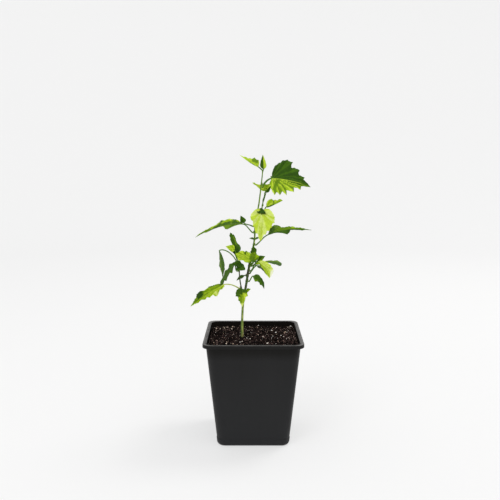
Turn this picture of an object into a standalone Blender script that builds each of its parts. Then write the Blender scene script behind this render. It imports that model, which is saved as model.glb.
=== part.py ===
# A young rose of sharon, a single bare-stemmed whip with a few lobed leaves, in a square nursery pot.
# Metres, +Z up. The origin is the centre of the pot's flat underside. The front is -Y.
# Headings are degrees in the ground plane, 0 to +X and -90 to the front, and lifts are degrees above it.

import math

import bpy
import numpy as np

CLEAR = 0.0003  # gap between neighbouring solids

POT = dict(
    height=0.0996,
    rim=0.0912,  # outer width over the turned-down lip
    rim_corner=0.0075,
    lip_drop=0.0034,
    lip_wall=0.0010,
    lip_round=0.0005,
    body_top=0.0861,  # outer width of the body just under the lip
    foot=0.0678,  # outer width of the body where its side meets the rounded bottom edge
    body_corner=0.0080,
    foot_round=0.0036,
    step_height=0.0065,  # faint step round the foot
    step_depth=0.0003,
    wall=0.0010,
    floor=0.0016,
    hole=0.0035,  # radius of a drainage hole
    hole_place=0.0215,  # from the middle, along X and along Y
)

SOIL = dict(
    edge_height=0.0966,  # top of the soil where it meets the wall
    mound=0.0009,  # how much higher its middle stands
    ripple=0.0004,  # height of the ripples over it
    ripples=(190, 230),  # how closely they follow each other along X and Y, in radians a metre
    rings=5,
)

# Each limb is one tapering stem: its route from foot to tip, and its radius at each point of the route.
# A limb with a parent starts beside it, at the height and heading of joins.
LIMBS = {
    "main_stem": dict(
        route=(
            (-0.0104, -0.0084, 0.0979),
            (-0.0104, -0.0045, 0.1126),
            (-0.0094, -0.0006, 0.1295),
            (-0.0068, 0.0017, 0.1446),
            (-0.0043, 0.0027, 0.1600),
            (-0.0010, 0.0030, 0.1755),
            (0.0013, 0.0024, 0.1895),
            (0.0019, 0.0020, 0.2040),
            (0.0050, 0.0028, 0.2200),
            (0.0072, 0.0026, 0.2370),
            (0.0087, 0.0020, 0.2515),
        ),
        radii=(
            0.00135, 0.00112, 0.00108, 0.00112, 0.00108, 0.00088, 0.00078, 0.00074, 0.00068, 0.00062,
            0.00050,
        ),
        flare=0.0003,  # added to the radius where the roots begin
        sides=10,
    ),
    "left_shoot": dict(
        joins=("main_stem", 0.1372, 190),
        route=(
            (-0.0113, 0.0005, 0.1425),
            (-0.0124, -0.0005, 0.1495),
            (-0.0131, -0.0010, 0.1575),
            (-0.0130, -0.0004, 0.1640),
        ),
        radii=(0.00066, 0.00064, 0.00060, 0.00055, 0.00050),
        flare=0.0,
        sides=8,
    ),
    "upper_shoot": dict(
        joins=("main_stem", 0.2110, 30),
        route=(
            (0.0078, 0.0042, 0.2165),
            (0.0090, 0.0050, 0.2225),
            (0.0108, 0.0050, 0.2310),
        ),
        radii=(0.00056, 0.00054, 0.00050, 0.00045),
        flare=0.0,
        sides=8,
    ),
}
FLARE_HEIGHT = 0.0022
LIMB_STEPS = 3  # rings between two points of a route

# One half of a blade, seen flat. Each row runs from the midrib out to the margin, like the side veins:
# where it leaves the midrib and where it ends, as shares of the length, and how far out, of the half width.
BLADE_ROWS = (
    (0.00, 0.00, 0.05),
    (0.03, 0.04, 0.52),
    (0.06, 0.12, 0.86),
    (0.10, 0.21, 0.90),  # notch between the basal tooth and the side lobe
    (0.15, 0.36, 1.00),  # tip of the side lobe
    (0.23, 0.41, 0.78),  # notch under it
    (0.33, 0.57, 0.72),  # tooth
    (0.46, 0.62, 0.50),
    (0.59, 0.77, 0.44),  # tooth
    (0.73, 0.81, 0.24),
    (0.95, 0.98, 0.05),  # tip
)
LEAF = dict(
    thickness=0.00045,  # never under 1/80 of the blade's length
    thinnest_share=1 / 80,
    stalk_radius=0.00042,
    stalk_sides=4,
    stalk_steps=5,
    spur=0.0013,  # the swollen foot of the stalks, standing straight out of its limb
    spur_radius=0.00062,
    spur_sides=6,
    small_blade=0.0185,  # under this length a blade has no notches
    spur_tip=0.0003,  # its radius at the very end, inside the stalk
    rise_share=0.4,  # how much of its reach a stalk keeps to the way it sets off
    bend_share=0.3,  # how much of it bends into the blade's own direction
    rib_share=0.14,  # how far the stalk runs on into the blade as its rib
    rib_taper=0.75,
    flat_share=0.2,  # the pleats grow to their full height over this share of the midrib
)


def leaf(stalk, blade, width, faces, arch=0.0, fold=15, pleat=0.0, sway=0.0, launch=35):
    """stalk and blade are (length, heading, lift). width is the half width on the blade's two sides.
    faces is where its upper side looks. arch and sway bow its middle up and sideways, fold raises
    its halves in degrees, one number or one for each side, and launch is the lift at which the
    stalk sets off."""
    return dict(
        stalk=stalk, blade=blade, width=width, faces=faces, arch=arch, pleat=pleat, sway=sway,
        fold=fold if isinstance(fold, tuple) else (fold, fold), launch=launch,
    )


# Each mass grows from one spur on its limb. Without a height it sits on the limb's tip.
MASSES = {
    "tip_leaves": dict(
        limb="main_stem",
        leaves=(
            leaf((0.0030, -10, 70), (0.0136, -109, 78), (0.0030, 0.0030), (-100, 10), fold=25),
            leaf(
                (0.0065, -161, 50), (0.0212, -158, 30), (0.0040, 0.0052), (-60, 50), fold=25, sway=0.0012,
            ),
        ),
    ),
    "top_right_leaf": dict(
        limb="main_stem", height=0.2400,
        leaves=(
            leaf(
                (0.0128, -32, 29), (0.0386, -25, -12), (0.0202, 0.0176), (-80, 22), 0.001, 6,
                pleat=0.0005, sway=0.0014, launch=62,
            ),
        ),
    ),
    "upper_left_leaf": dict(
        limb="upper_shoot",
        leaves=(
            leaf((0.0032, 30, 72), (0.0160, 152, 29), (0.0045, 0.0062), (-95, 45)),
            leaf((0.0026, 60, 40), (0.0085, 20, 50), (0.0020, 0.0020), (-60, 30), fold=30),
        ),
    ),
    "narrow_leaf": dict(
        limb="upper_shoot", height=0.2205,
        leaves=(leaf((0.0034, -80, 50), (0.0105, -43, 66), (0.0014, 0.0014), (-150, 20)),),
    ),
    "upper_right_leaf": dict(
        limb="upper_shoot", height=0.2160,
        leaves=(leaf((0.0060, -24, 33), (0.0190, -34, 20), (0.0052, 0.0040), (-100, 35), fold=12),),
    ),
    "centre_leaf": dict(
        limb="main_stem", height=0.2085,
        leaves=(
            leaf(
                (0.0130, -64, 34), (0.0278, -99, -76), (0.0126, 0.0122), (-88, 12), 0.002, 6,
                pleat=0.0005, launch=55,
            ),
            leaf((0.0112, -78, 38), (0.0095, -40, -16), (0.0030, 0.0038), (-90, 45)),
        ),
    ),
    "left_long_leaf": dict(
        limb="main_stem", height=0.1950,
        leaves=(
            leaf(
                (0.0142, 155, 33), (0.0514, 162, -16), (0.0110, 0.0120), (-85, 74), 0.0042, (-12, 8),
                pleat=0.0005,
            ),
        ),
    ),
    "left_small_leaf": dict(
        limb="main_stem", height=0.2010,
        leaves=(leaf((0.0107, -174, 18), (0.0078, 170, 64), (0.0032, 0.0028), (-80, 30)),),
    ),
    "right_long_leaf": dict(
        limb="main_stem", height=0.1838,
        leaves=(
            leaf(
                (0.0185, -33, 33), (0.0420, -21, 8), (0.0120, 0.0110), (-100, 74), 0.0028, (18, -14),
                pleat=0.0005,
            ),
        ),
    ),
    "star_leaves": dict(
        limb="main_stem", height=0.1890,
        leaves=(
            leaf((0.0034, -95, 5), (0.0052, -160, 12), (0.0015, 0.0015), (-90, 60)),
            leaf((0.0036, -80, 5), (0.0052, -20, 22), (0.0015, 0.0015), (-90, 60)),
        ),
    ),
    "front_leaf": dict(
        limb="main_stem", height=0.1634,
        leaves=(
            leaf((0.0122, -70, 29), (0.0200, -154, 24), (0.0052, 0.0086), (-84, 14), fold=5, pleat=0.0003),
        ),
    ),
    "front_dark_leaf": dict(
        limb="main_stem", height=0.1662,
        leaves=(leaf((0.0062, -50, 24), (0.0146, -98, 80), (0.0040, 0.0056), (-88, 5), fold=8),),
    ),
    "left_crown": dict(
        limb="left_shoot",
        leaves=(
            leaf((0.0100, 130, 58), (0.0235, 128, 68), (0.0040, 0.0044), (-100, 10), sway=-0.0022),
            leaf((0.0152, 142, 66), (0.0094, -166, 24), (0.0034, 0.0038), (-90, 40)),
            leaf((0.0050, -55, 6), (0.0140, -140, 14), (0.0032, 0.0040), (-90, 35)),
            leaf((0.0065, -51, 8), (0.0115, -134, -34), (0.0045, 0.0042), (-90, 20)),
        ),
    ),
    "arching_leaf": dict(
        limb="left_shoot", height=0.1630,
        leaves=(
            leaf(
                (0.0284, 142, 28), (0.0268, 10, -83), (0.0060, 0.0060), (178, 10), -0.0012, (-20, 22),
                launch=86,
            ),
        ),
    ),
    "drooping_leaf": dict(
        limb="left_shoot", height=0.1590,
        leaves=(
            leaf(
                (0.0076, 180, 52), (0.0286, 153, -57), (0.0060, 0.0060), (170, 35), -0.001, (-14, 24),
                pleat=0.0003,
            ),
        ),
    ),
    "right_small_leaf": dict(
        limb="main_stem", height=0.1680,
        leaves=(
            leaf((0.0068, -12, 2), (0.0098, -30, 32), (0.0036, 0.0040), (-90, 40)),
            leaf((0.0060, -18, -12), (0.0070, -32, -2), (0.0022, 0.0028), (-90, 40)),
        ),
    ),
    "right_far_leaf": dict(
        limb="main_stem", height=0.1634,
        leaves=(leaf((0.0146, 21, 11), (0.0222, 34, -8), (0.0060, 0.0060), (-72, 70), 0.0010, (5, -10)),),
    ),
    "right_pale_leaf": dict(
        limb="main_stem", height=0.1589,
        leaves=(
            leaf(
                (0.0146, -42, 39), (0.0200, -40, -43), (0.0092, 0.0042), (-105, 30), 0.001, 10,
                pleat=0.0004, sway=0.0028,
            ),
        ),
    ),
    "low_right_leaf": dict(
        limb="main_stem", height=0.1490,
        leaves=(
            leaf((0.0098, -40, 35), (0.0166, -35, -42), (0.0044, 0.0036), (-115, 25), sway=0.0020),
        ),
    ),
    "thin_leaf": dict(
        limb="main_stem", height=0.1537,
        leaves=(leaf((0.0034, 149, 2), (0.0100, 157, -34), (0.0014, 0.0014), (-60, 40), 0.0014),),
    ),
    "low_front_leaf": dict(
        limb="main_stem", height=0.1366,
        leaves=(
            leaf((0.0092, -104, 40), (0.0164, -94, -78), (0.0060, 0.0064), (-90, 12), fold=12, launch=60),
            leaf((0.0052, -56, 45), (0.0050, -29, 26), (0.0017, 0.0017), (-90, 40)),
        ),
    ),
    "low_left_leaf": dict(
        limb="left_shoot", height=0.1425,
        leaves=(
            leaf((0.0189, -152, 15), (0.0373, -158, -29), (0.0080, 0.0064), (-76, 46), 0.002, 4,
                 pleat=0.0004),
        ),
    ),
    "back_low_leaf": dict(
        limb="main_stem", height=0.1345,
        leaves=(leaf((0.0100, 95, 20), (0.0200, 98, -42), (0.0060, 0.0060), (100, 48), 0.002, 10),),
    ),
    "back_left_leaf": dict(
        limb="main_stem", height=0.1655,
        leaves=(leaf((0.0120, 95, 12), (0.0270, 96, -14), (0.0085, 0.0085), (96, 74), 0.003, 10),),
    ),
    "back_right_leaf": dict(
        limb="main_stem", height=0.1560,
        leaves=(leaf((0.0150, 50, 24), (0.0210, 55, -34), (0.0075, 0.0075), (55, 56), 0.002, 10),),
    ),
    "back_centre_leaf": dict(
        limb="main_stem", height=0.2010,
        leaves=(leaf((0.0130, 62, 24), (0.0260, 78, -14), (0.0090, 0.0090), (80, 72), 0.003, 10),),
    ),
    "back_top_leaf": dict(
        limb="main_stem", height=0.2375,
        leaves=(leaf((0.0170, 42, 30), (0.0250, 36, -14), (0.0085, 0.0085), (45, 72), 0.003, 10,
                     launch=60),),
    ),
}

LOOKS = {
    "pot": ((0.028, 0.029, 0.031), 0.45),
    "soil": ((0.030, 0.018, 0.012), 0.95),
    "bark": ((0.070, 0.095, 0.030), 0.65),
    "leaf_dark": ((0.060, 0.160, 0.020), 0.50),
    "leaf_light": ((0.320, 0.560, 0.070), 0.50),
}
LIGHT_MASSES = {
    "tip_leaves", "upper_left_leaf", "upper_right_leaf", "centre_leaf", "front_leaf", "right_pale_leaf",
    "low_front_leaf", "low_left_leaf",
}


def clear_scene():
    for thing in list(bpy.data.objects):
        bpy.data.objects.remove(thing)


def finish(thing, look):
    colour, roughness = LOOKS[look]
    material = bpy.data.materials.new(thing.name)
    material.use_nodes = True
    shader = material.node_tree.nodes["Principled BSDF"]
    shader.inputs["Base Color"].default_value = (*colour, 1)
    shader.inputs["Roughness"].default_value = roughness
    shader.inputs["Metallic"].default_value = 0
    material.diffuse_color = (*colour, 1)
    thing.data.materials.clear()
    thing.data.materials.append(material)
    thing.data.shade_smooth()
    thing.data.set_sharp_from_angle(angle=math.radians(35))


def new_object(name, points, faces):
    mesh = bpy.data.meshes.new(name)
    mesh.from_pydata([tuple(p) for p in points], [], faces)
    thing = bpy.data.objects.new(name, mesh)
    bpy.context.scene.collection.objects.link(thing)
    return thing


def unit(vector):
    return vector / np.linalg.norm(vector)


def toward(heading, lift):
    a, b = math.radians(heading), math.radians(lift)
    return np.array((math.cos(a) * math.cos(b), math.sin(a) * math.cos(b), math.sin(b)))


def across(direction, axis):
    """direction, made square to axis."""
    return unit(direction - axis * np.dot(direction, axis))


# Pot and soil

def rounded_square(width, corner, z, arc=4, cuts=0):
    """One ring of points, counterclockwise, with cuts more points along each side."""
    half = width / 2
    middle = half - corner
    ring = []
    for quarter in range(4):
        turn = quarter * math.pi / 2
        centre = np.array((math.cos(turn) - math.sin(turn), math.sin(turn) + math.cos(turn))) * middle
        for step in range(arc + 1):
            angle = turn + step / arc * math.pi / 2
            ring.append((*(centre + corner * np.array((math.cos(angle), math.sin(angle)))), z))
        start = np.array(ring[-1])
        side = np.array((-math.cos(turn), -math.sin(turn), 0)) * 2 * middle
        for cut in range(cuts):
            ring.append(tuple(start + side * (cut + 1) / (cuts + 1)))
    return ring


def skin(rings):
    """Points and faces of a closed solid whose rings run from one flat end to the other."""
    count = len(rings[0])
    points = [p for ring in rings for p in ring]
    faces = [tuple(reversed(range(count)))]
    for row in range(len(rings) - 1):
        for i in range(count):
            j = (i + 1) % count
            low, high = row * count, (row + 1) * count
            faces.append((low + i, low + j, high + j, high + i))
    faces.append(tuple(range((len(rings) - 1) * count, len(rings) * count)))
    return points, faces


def body_width(z):
    """Outer width of the pot's tapering body at a height."""
    share = (z - POT["foot_round"]) / (POT["height"] - POT["lip_drop"] - POT["foot_round"])
    return POT["foot"] + (POT["body_top"] - POT["foot"]) * share


def make_pot():
    p = POT
    corner = p["body_corner"]
    top = p["height"]
    rings = []
    for step in range(4):  # the rounded bottom edge
        angle = step / 3 * math.pi / 2
        inset = p["foot_round"] * (1 - math.sin(angle))
        z = p["foot_round"] * (1 - math.cos(angle))
        rings.append(rounded_square(p["foot"] - 2 * inset, corner - inset, z))
    rings.append(rounded_square(body_width(p["step_height"]), corner, p["step_height"]))
    above = p["step_height"] + p["step_depth"]
    rings.append(rounded_square(body_width(above) - 2 * p["step_depth"], corner, above))
    under_lip = top - p["lip_wall"]
    rings.append(rounded_square(body_width(under_lip) - 2 * p["step_depth"], corner, under_lip))
    skirt = p["rim"] - 2 * p["lip_wall"]
    skirt_corner = p["rim_corner"] - p["lip_wall"]
    rings.append(rounded_square(skirt, skirt_corner, under_lip))
    rings.append(rounded_square(skirt, skirt_corner, top - p["lip_drop"]))
    rings.append(rounded_square(p["rim"], p["rim_corner"], top - p["lip_drop"]))
    rings.append(rounded_square(p["rim"], p["rim_corner"], top - p["lip_round"]))
    rings.append(rounded_square(p["rim"] - 2 * p["lip_round"], p["rim_corner"] - p["lip_round"], top))
    thick = 2 * (p["wall"] + p["step_depth"])
    inner = corner - p["wall"]
    rings.append(rounded_square(body_width(top) - thick + 2 * p["lip_round"], inner, top))
    rings.append(rounded_square(body_width(top) - thick, inner, top - p["lip_round"]))
    rings.append(rounded_square(inner_width(p["floor"]), inner, p["floor"]))
    pot = new_object("pot", *skin(rings))
    finish(pot, "pot")
    for x in (-1, 1):
        for y in (-1, 1):
            drill(pot, x * p["hole_place"], y * p["hole_place"])
    return pot


def inner_width(z):
    return body_width(z) - 2 * (POT["wall"] + POT["step_depth"])


def drill(pot, x, y):
    bpy.ops.mesh.primitive_cylinder_add(vertices=12, radius=POT["hole"], depth=0.010, location=(x, y, 0))
    cutter = bpy.context.active_object
    cutter.name = "drain_cutter"
    cutter.hide_render = True
    cutter.display_type = "WIRE"
    cut = pot.modifiers.new("drain", "BOOLEAN")
    cut.operation = "DIFFERENCE"
    cut.solver = "EXACT"
    cut.object = cutter


def soil_top(x, y):
    """Height of the soil: a low mound with shallow ripples, level where it meets the wall."""
    half = inner_width(SOIL["edge_height"]) / 2
    rise = max(0.0, 1 - (max(abs(x), abs(y)) / half) ** 2)
    ripple = math.sin(SOIL["ripples"][0] * x + 1.3) * math.cos(SOIL["ripples"][1] * y - 0.4)
    return SOIL["edge_height"] + rise * (SOIL["mound"] + SOIL["ripple"] * ripple)


def make_soil():
    low = POT["floor"] + CLEAR
    corner = POT["body_corner"] - POT["wall"] - CLEAR
    high = SOIL["edge_height"]
    gap = 3 * CLEAR  # wider than the bare gap, since both walls are faceted
    rings = [
        rounded_square(inner_width(low) - gap, corner, low, 2, 4),
        rounded_square(inner_width(high) - gap, corner, high, 2, 4),
    ]
    outer = np.array(rings[-1])
    for ring in range(1, SOIL["rings"]):
        flat = outer * (1 - ring / SOIL["rings"])
        rings.append([(x, y, soil_top(x, y)) for x, y, _ in flat])
    points, faces = skin(rings)
    faces.pop()
    first, count = len(points) - len(outer), len(outer)
    points.append((0, 0, soil_top(0, 0)))
    faces += [(first + i, first + (i + 1) % count, len(points) - 1) for i in range(count)]
    finish(new_object("potting_soil", points, faces), "soil")


# Limbs

def smooth_line(points, steps):
    """A curve through the points, with steps pieces between two. Any columns after XYZ are carried."""
    points = np.array(points, float)
    ends = np.vstack((2 * points[0] - points[1], points, 2 * points[-1] - points[-2]))
    line = []
    for a, b, c, d in zip(ends, ends[1:], ends[2:], ends[3:]):
        for step in range(steps):
            t = step / steps
            line.append(0.5 * (2 * b + (c - a) * t + (2 * a - 5 * b + 4 * c - d) * t**2
                               + (3 * b - a - 3 * c + d) * t**3))
    line.append(points[-1])
    return np.array(line)


def tube(name, line, radii, sides, first_axis=None):
    """A closed tube along a line. first_axis sets the way that its first cut faces."""
    line = np.array(line)
    tangents = np.gradient(line, axis=0)
    tangents /= np.linalg.norm(tangents, axis=1)[:, None]
    if first_axis is not None:
        tangents[0] = first_axis
    side = across(np.array((0.31, -0.95, 0.11)), tangents[0])
    rings = []
    for point, tangent, radius in zip(line, tangents, radii):
        side = across(side, tangent)
        other = np.cross(tangent, side)
        angles = np.arange(sides) * 2 * math.pi / sides
        ring = np.outer(np.cos(angles), side) + np.outer(np.sin(angles), other)
        rings.append([tuple(p) for p in point + radius * ring])
    return new_object(name, *skin(rings))


def limb_start(parent, height, heading):
    """Where something grows from the side of a limb: on its axis, on its surface, and which way is out."""
    line, radii = CENTRES[parent], RADII[parent]
    axis_point = np.array([np.interp(height, line[:, 2], line[:, k]) for k in range(3)])
    low, high = max(height - 0.002, line[0, 2]), min(height + 0.002, line[-1, 2])
    ends = [np.array([np.interp(z, line[:, 2], line[:, k]) for k in range(3)]) for z in (low, high)]
    out = across(toward(heading, 0), unit(ends[1] - ends[0]))
    radius = np.interp(height, line[:, 2], radii)
    return axis_point, axis_point + out * (radius + CLEAR), out


CENTRES, RADII = {}, {}


def make_limb(name, limb):
    route = [(*point, radius) for point, radius in zip(limb["route"], limb["radii"][-len(limb["route"]):])]
    axis = (0, 0, 1)
    if "joins" in limb:
        _, foot, axis = limb_start(*limb["joins"])
        route.insert(0, (*(foot + axis * LEAF["spur"]), limb["radii"][0]))
    line = smooth_line(route, LIMB_STEPS)
    if "joins" in limb:
        line = np.vstack(((*foot, limb["radii"][0]), line))
    radii = line[:, 3] + limb["flare"] * np.exp(-(line[:, 2] - line[0, 2]) / FLARE_HEIGHT)
    CENTRES[name], RADII[name] = line[:, :3], radii
    finish(tube(name, line[:, :3], radii, limb["sides"], axis), "bark")


# Leaves

def blade_frame(spec):
    """Along the blade, out of its upper side, and across it."""
    along = toward(*spec["blade"][1:])
    up = across(toward(*spec["faces"]), along)
    return along, up, np.cross(up, along)


def midrib(spec, base, share):
    along, up, side = blade_frame(spec)
    bow = 4 * share * (1 - share) * (up * spec["arch"] + side * spec["sway"])
    return base + along * spec["blade"][0] * share + bow


def make_blade(spec, base):
    along, up, side = blade_frame(spec)
    length = spec["blade"][0]
    small = length < LEAF["small_blade"]
    columns = 1 if small else 2
    rows = BLADE_ROWS[::2] if small else BLADE_ROWS
    grid = np.zeros((len(rows), 2 * columns + 1, 3))
    for i, (start, end, out) in enumerate(rows):
        for j in range(-columns, columns + 1):
            far = abs(j) / columns
            share = start + (end - start) * far
            edge = 0 if j > 0 else 1
            width = spec["width"][edge] * out * far
            rise = width * math.tan(math.radians(spec["fold"][edge]))
            rise += spec["pleat"] * far * min(1, start / LEAF["flat_share"]) * (1 if i % 2 else -1)
            grid[i, j + columns] = midrib(spec, base, share) + side * math.copysign(width, j) + up * rise
    normal = np.cross(np.gradient(grid, axis=1), np.gradient(grid, axis=0))
    normal /= -np.linalg.norm(normal, axis=2)[:, :, None]
    half = max(LEAF["thickness"], length * LEAF["thinnest_share"]) / 2
    layers = (grid + half * normal, grid - half * normal)
    rows, wide = grid.shape[:2]
    points = [tuple(p) for layer in layers for p in layer.reshape(-1, 3)]
    below = rows * wide
    faces = []
    for i in range(rows - 1):
        for j in range(wide - 1):
            a, b, c, d = i * wide + j, i * wide + j + 1, (i + 1) * wide + j + 1, (i + 1) * wide + j
            faces.append((a, b, c, d))
            faces.append((below + d, below + c, below + b, below + a))
    edge = [j for j in range(wide)] + [i * wide + wide - 1 for i in range(1, rows)]
    edge += [(rows - 1) * wide + j for j in range(wide - 2, -1, -1)]
    edge += [i * wide for i in range(rows - 2, 0, -1)]
    for a, b in zip(edge, edge[1:] + edge[:1]):
        faces.append((b, a, below + a, below + b))
    return new_object("blade", points, faces)


def make_stalk(spec, foot, base):
    """From the spur to the blade, and on into it as the rib."""
    along = blade_frame(spec)[0]
    reach = np.linalg.norm(base - foot)
    first = foot + toward(spec["stalk"][1], spec["launch"]) * LEAF["rise_share"] * reach
    second = base - unit((base - foot) / reach + along) * LEAF["bend_share"] * reach
    line = []
    for step in range(LEAF["stalk_steps"]):
        t = step / LEAF["stalk_steps"]
        outer = foot * (1 - t) ** 3 + base * t**3
        line.append(outer + first * 3 * t * (1 - t) ** 2 + second * 3 * t**2 * (1 - t))
    for share in (0.0, 1.0):
        line.append(midrib(spec, base, share * LEAF["rib_share"]))
    radii = np.full(len(line), LEAF["stalk_radius"])
    radii[-1] *= LEAF["rib_taper"]
    return tube("stalk", line, radii, LEAF["stalk_sides"])


def fuse(name, pieces):
    """One solid from pieces that overlap."""
    body, rest = pieces[0], bpy.data.collections.new(name + "_pieces")
    bpy.context.scene.collection.children.link(rest)
    for piece in pieces[1:]:
        bpy.context.scene.collection.objects.unlink(piece)
        rest.objects.link(piece)
    join = body.modifiers.new("join", "BOOLEAN")
    join.operation = "UNION"
    join.operand_type = "COLLECTION"
    join.collection = rest
    join.solver = "EXACT"
    graph = bpy.context.evaluated_depsgraph_get()
    mesh = bpy.data.meshes.new_from_object(body.evaluated_get(graph))
    body.modifiers.clear()
    body.data = mesh
    body.name = mesh.name = name
    for piece in list(rest.objects):
        bpy.data.objects.remove(piece)
    bpy.data.collections.remove(rest)
    return body


def make_mass(name, mass):
    limb = mass["limb"]
    if "height" in mass:
        centre, foot, out = limb_start(limb, mass["height"], mass["leaves"][0]["stalk"][1])
    else:
        line = CENTRES[limb]
        out = unit(line[-1] - line[-2])
        centre, foot = line[-1], line[-1] + out * CLEAR
    end = foot + out * LEAF["spur"]
    line = [foot, end, end + out * LEAF["spur_radius"]]
    radii = [LEAF["spur_radius"], LEAF["spur_radius"], LEAF["spur_tip"]]
    pieces = [tube("spur", line, radii, LEAF["spur_sides"], out)]
    for spec in mass["leaves"]:
        length, heading, lift = spec["stalk"]
        base = centre + length * toward(heading, lift)
        pieces.append(make_stalk(spec, end, base))
        pieces.append(make_blade(spec, base))
    finish(fuse(name, pieces), "leaf_light" if name in LIGHT_MASSES else "leaf_dark")


clear_scene()
make_pot()
make_soil()
for limb_name, limb_spec in LIMBS.items():
    make_limb(limb_name, limb_spec)
for mass_name, mass_spec in MASSES.items():
    make_mass(mass_name, mass_spec)
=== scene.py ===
# Rose of sharon, a young whip in a square nursery pot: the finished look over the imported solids.
# Metres, +Z up. Headings are degrees in the ground plane, 0 to +X and -90 to the front; lifts are above it.

import math

import bpy
import numpy as np
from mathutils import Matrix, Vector, noise


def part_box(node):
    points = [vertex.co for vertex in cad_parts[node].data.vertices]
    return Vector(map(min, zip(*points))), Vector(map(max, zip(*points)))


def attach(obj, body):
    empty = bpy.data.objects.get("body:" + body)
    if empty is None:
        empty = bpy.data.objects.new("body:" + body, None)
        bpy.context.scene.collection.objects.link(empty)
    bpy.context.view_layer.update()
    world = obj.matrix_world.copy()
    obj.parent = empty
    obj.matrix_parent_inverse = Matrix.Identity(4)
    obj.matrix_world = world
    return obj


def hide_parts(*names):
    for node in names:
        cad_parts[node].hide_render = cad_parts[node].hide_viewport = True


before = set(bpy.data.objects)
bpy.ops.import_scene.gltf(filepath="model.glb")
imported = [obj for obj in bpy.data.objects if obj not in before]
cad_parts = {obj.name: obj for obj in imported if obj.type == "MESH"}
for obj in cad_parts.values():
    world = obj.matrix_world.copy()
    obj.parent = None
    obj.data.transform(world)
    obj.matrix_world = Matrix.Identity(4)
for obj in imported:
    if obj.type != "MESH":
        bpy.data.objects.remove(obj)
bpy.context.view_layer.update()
body = "root"


# Small helpers

def unit(vector):
    return vector / np.linalg.norm(vector)


def toward(heading, lift):
    a, b = math.radians(heading), math.radians(lift)
    return np.array((math.cos(a) * math.cos(b), math.sin(a) * math.cos(b), math.sin(b)))


def across(direction, axis):
    # direction, made square to axis
    return unit(direction - axis * np.dot(direction, axis))


def newPiece(name, points, faces=(), edges=()):
    mesh = bpy.data.meshes.new(name)
    mesh.from_pydata([tuple(p) for p in points], list(edges), list(faces))
    if len(mesh.polygons):
        mesh.shade_smooth()
    piece = bpy.data.objects.new(name, mesh)
    bpy.context.scene.collection.objects.link(piece)
    return piece


def addNode(tree, kind, inputs=None, **settings):
    # settings come first, because some of them change which sockets a node has
    node = tree.nodes.new(kind)
    for key, value in settings.items():
        setattr(node, key, value)
    for socket, value in (inputs or {}).items():
        if isinstance(value, bpy.types.NodeSocket):
            tree.links.new(value, node.inputs[socket])
        else:
            node.inputs[socket].default_value = value
    return node


def made(tree, kind, inputs=None, **settings):
    # a node of which only the first output is used
    return addNode(tree, kind, inputs, **settings).outputs[0]


def plainMesh(piece):
    # what the modifiers make becomes the piece's own mesh
    graph = bpy.context.evaluated_depsgraph_get()
    mesh = bpy.data.meshes.new_from_object(piece.evaluated_get(graph))
    piece.modifiers.clear()
    mesh.name = piece.name
    piece.data = mesh
    return piece


def growWith(piece, tree, values):
    # runs one geometry tree on a piece, with its inputs set by name
    modifier = piece.modifiers.new(tree.name, "NODES")
    modifier.node_group = tree
    sockets = {item.name: item.identifier for item in tree.interface.items_tree if item.in_out == "INPUT"}
    for name, value in values.items():
        modifier[sockets[name]] = value
    return plainMesh(piece)


def addToPart(piece, slotName, *nodes):
    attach(piece, body)
    if nodes:
        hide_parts(*nodes)
    piece.data.calc_loop_triangles()
    print("made", piece.name, len(piece.data.loop_triangles), "triangles")


# Finishes

def newFinish(name, roughness, specular):
    # a material, its tree and its shader
    material = bpy.data.materials.new(name)
    material.use_nodes = True
    tree = material.node_tree
    shader = tree.nodes["Principled BSDF"]
    shader.inputs["Roughness"].default_value = roughness
    shader.inputs["Specular IOR Level"].default_value = specular
    return material, tree, shader


def placed(tree, scale=(1, 1, 1), source="Object"):
    # coordinates in the piece's own space, stretched by scale
    where = addNode(tree, "ShaderNodeTexCoord").outputs[source]
    return addNode(tree, "ShaderNodeMapping", {"Vector": where, "Scale": scale}).outputs["Vector"]


def noiseOn(tree, vector, scale, detail=4.0, rough=0.55):
    settings = {"Vector": vector, "Scale": scale, "Detail": detail, "Roughness": rough}
    return addNode(tree, "ShaderNodeTexNoise", settings).outputs["Fac"]


def ramp(tree, factor, stops):
    node = addNode(tree, "ShaderNodeValToRGB", {"Fac": factor})
    elements = node.color_ramp.elements
    while len(elements) < len(stops):
        elements.new(0.5)
    for element, (position, colour) in zip(elements, stops):
        element.position = position
        element.color = (*colour, 1)
    return node.outputs["Color"]


def span(tree, value, low, high, newLow, newHigh):
    settings = {"Value": value, "From Min": low, "From Max": high, "To Min": newLow, "To Max": newHigh}
    return addNode(tree, "ShaderNodeMapRange", settings).outputs["Result"]


def mixed(tree, factor, first, second, blend="MIX"):
    node = addNode(tree, "ShaderNodeMix", data_type="RGBA", blend_type=blend)
    for socket, value in ((0, factor), (6, first), (7, second)):
        if isinstance(value, bpy.types.NodeSocket):
            tree.links.new(value, node.inputs[socket])
        elif socket:
            node.inputs[socket].default_value = (*value, 1)
        else:
            node.inputs[socket].default_value = value
    return node.outputs[2]


def figure(tree, operation, *values):
    # one step of arithmetic on numbers or sockets
    return made(tree, "ShaderNodeMath", dict(enumerate(values)), operation=operation)


def vectorFrom(tree, x, y, z):
    return made(tree, "ShaderNodeCombineXYZ", {"X": x, "Y": y, "Z": z})


def partOf(tree, vector, axis):
    return addNode(tree, "ShaderNodeSeparateXYZ", {"Vector": vector}).outputs[axis]


def facing(tree, axis):
    # how far a surface looks along an axis
    return partOf(tree, addNode(tree, "ShaderNodeNewGeometry").outputs["Normal"], axis)


def bumped(tree, shader, height, distance, strength=1.0):
    settings = {"Height": height, "Distance": distance, "Strength": strength}
    tree.links.new(addNode(tree, "ShaderNodeBump", settings).outputs["Normal"], shader.inputs["Normal"])


def scaled(colour, factor):
    return tuple(part * factor for part in colour)


# Geometry trees

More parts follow.
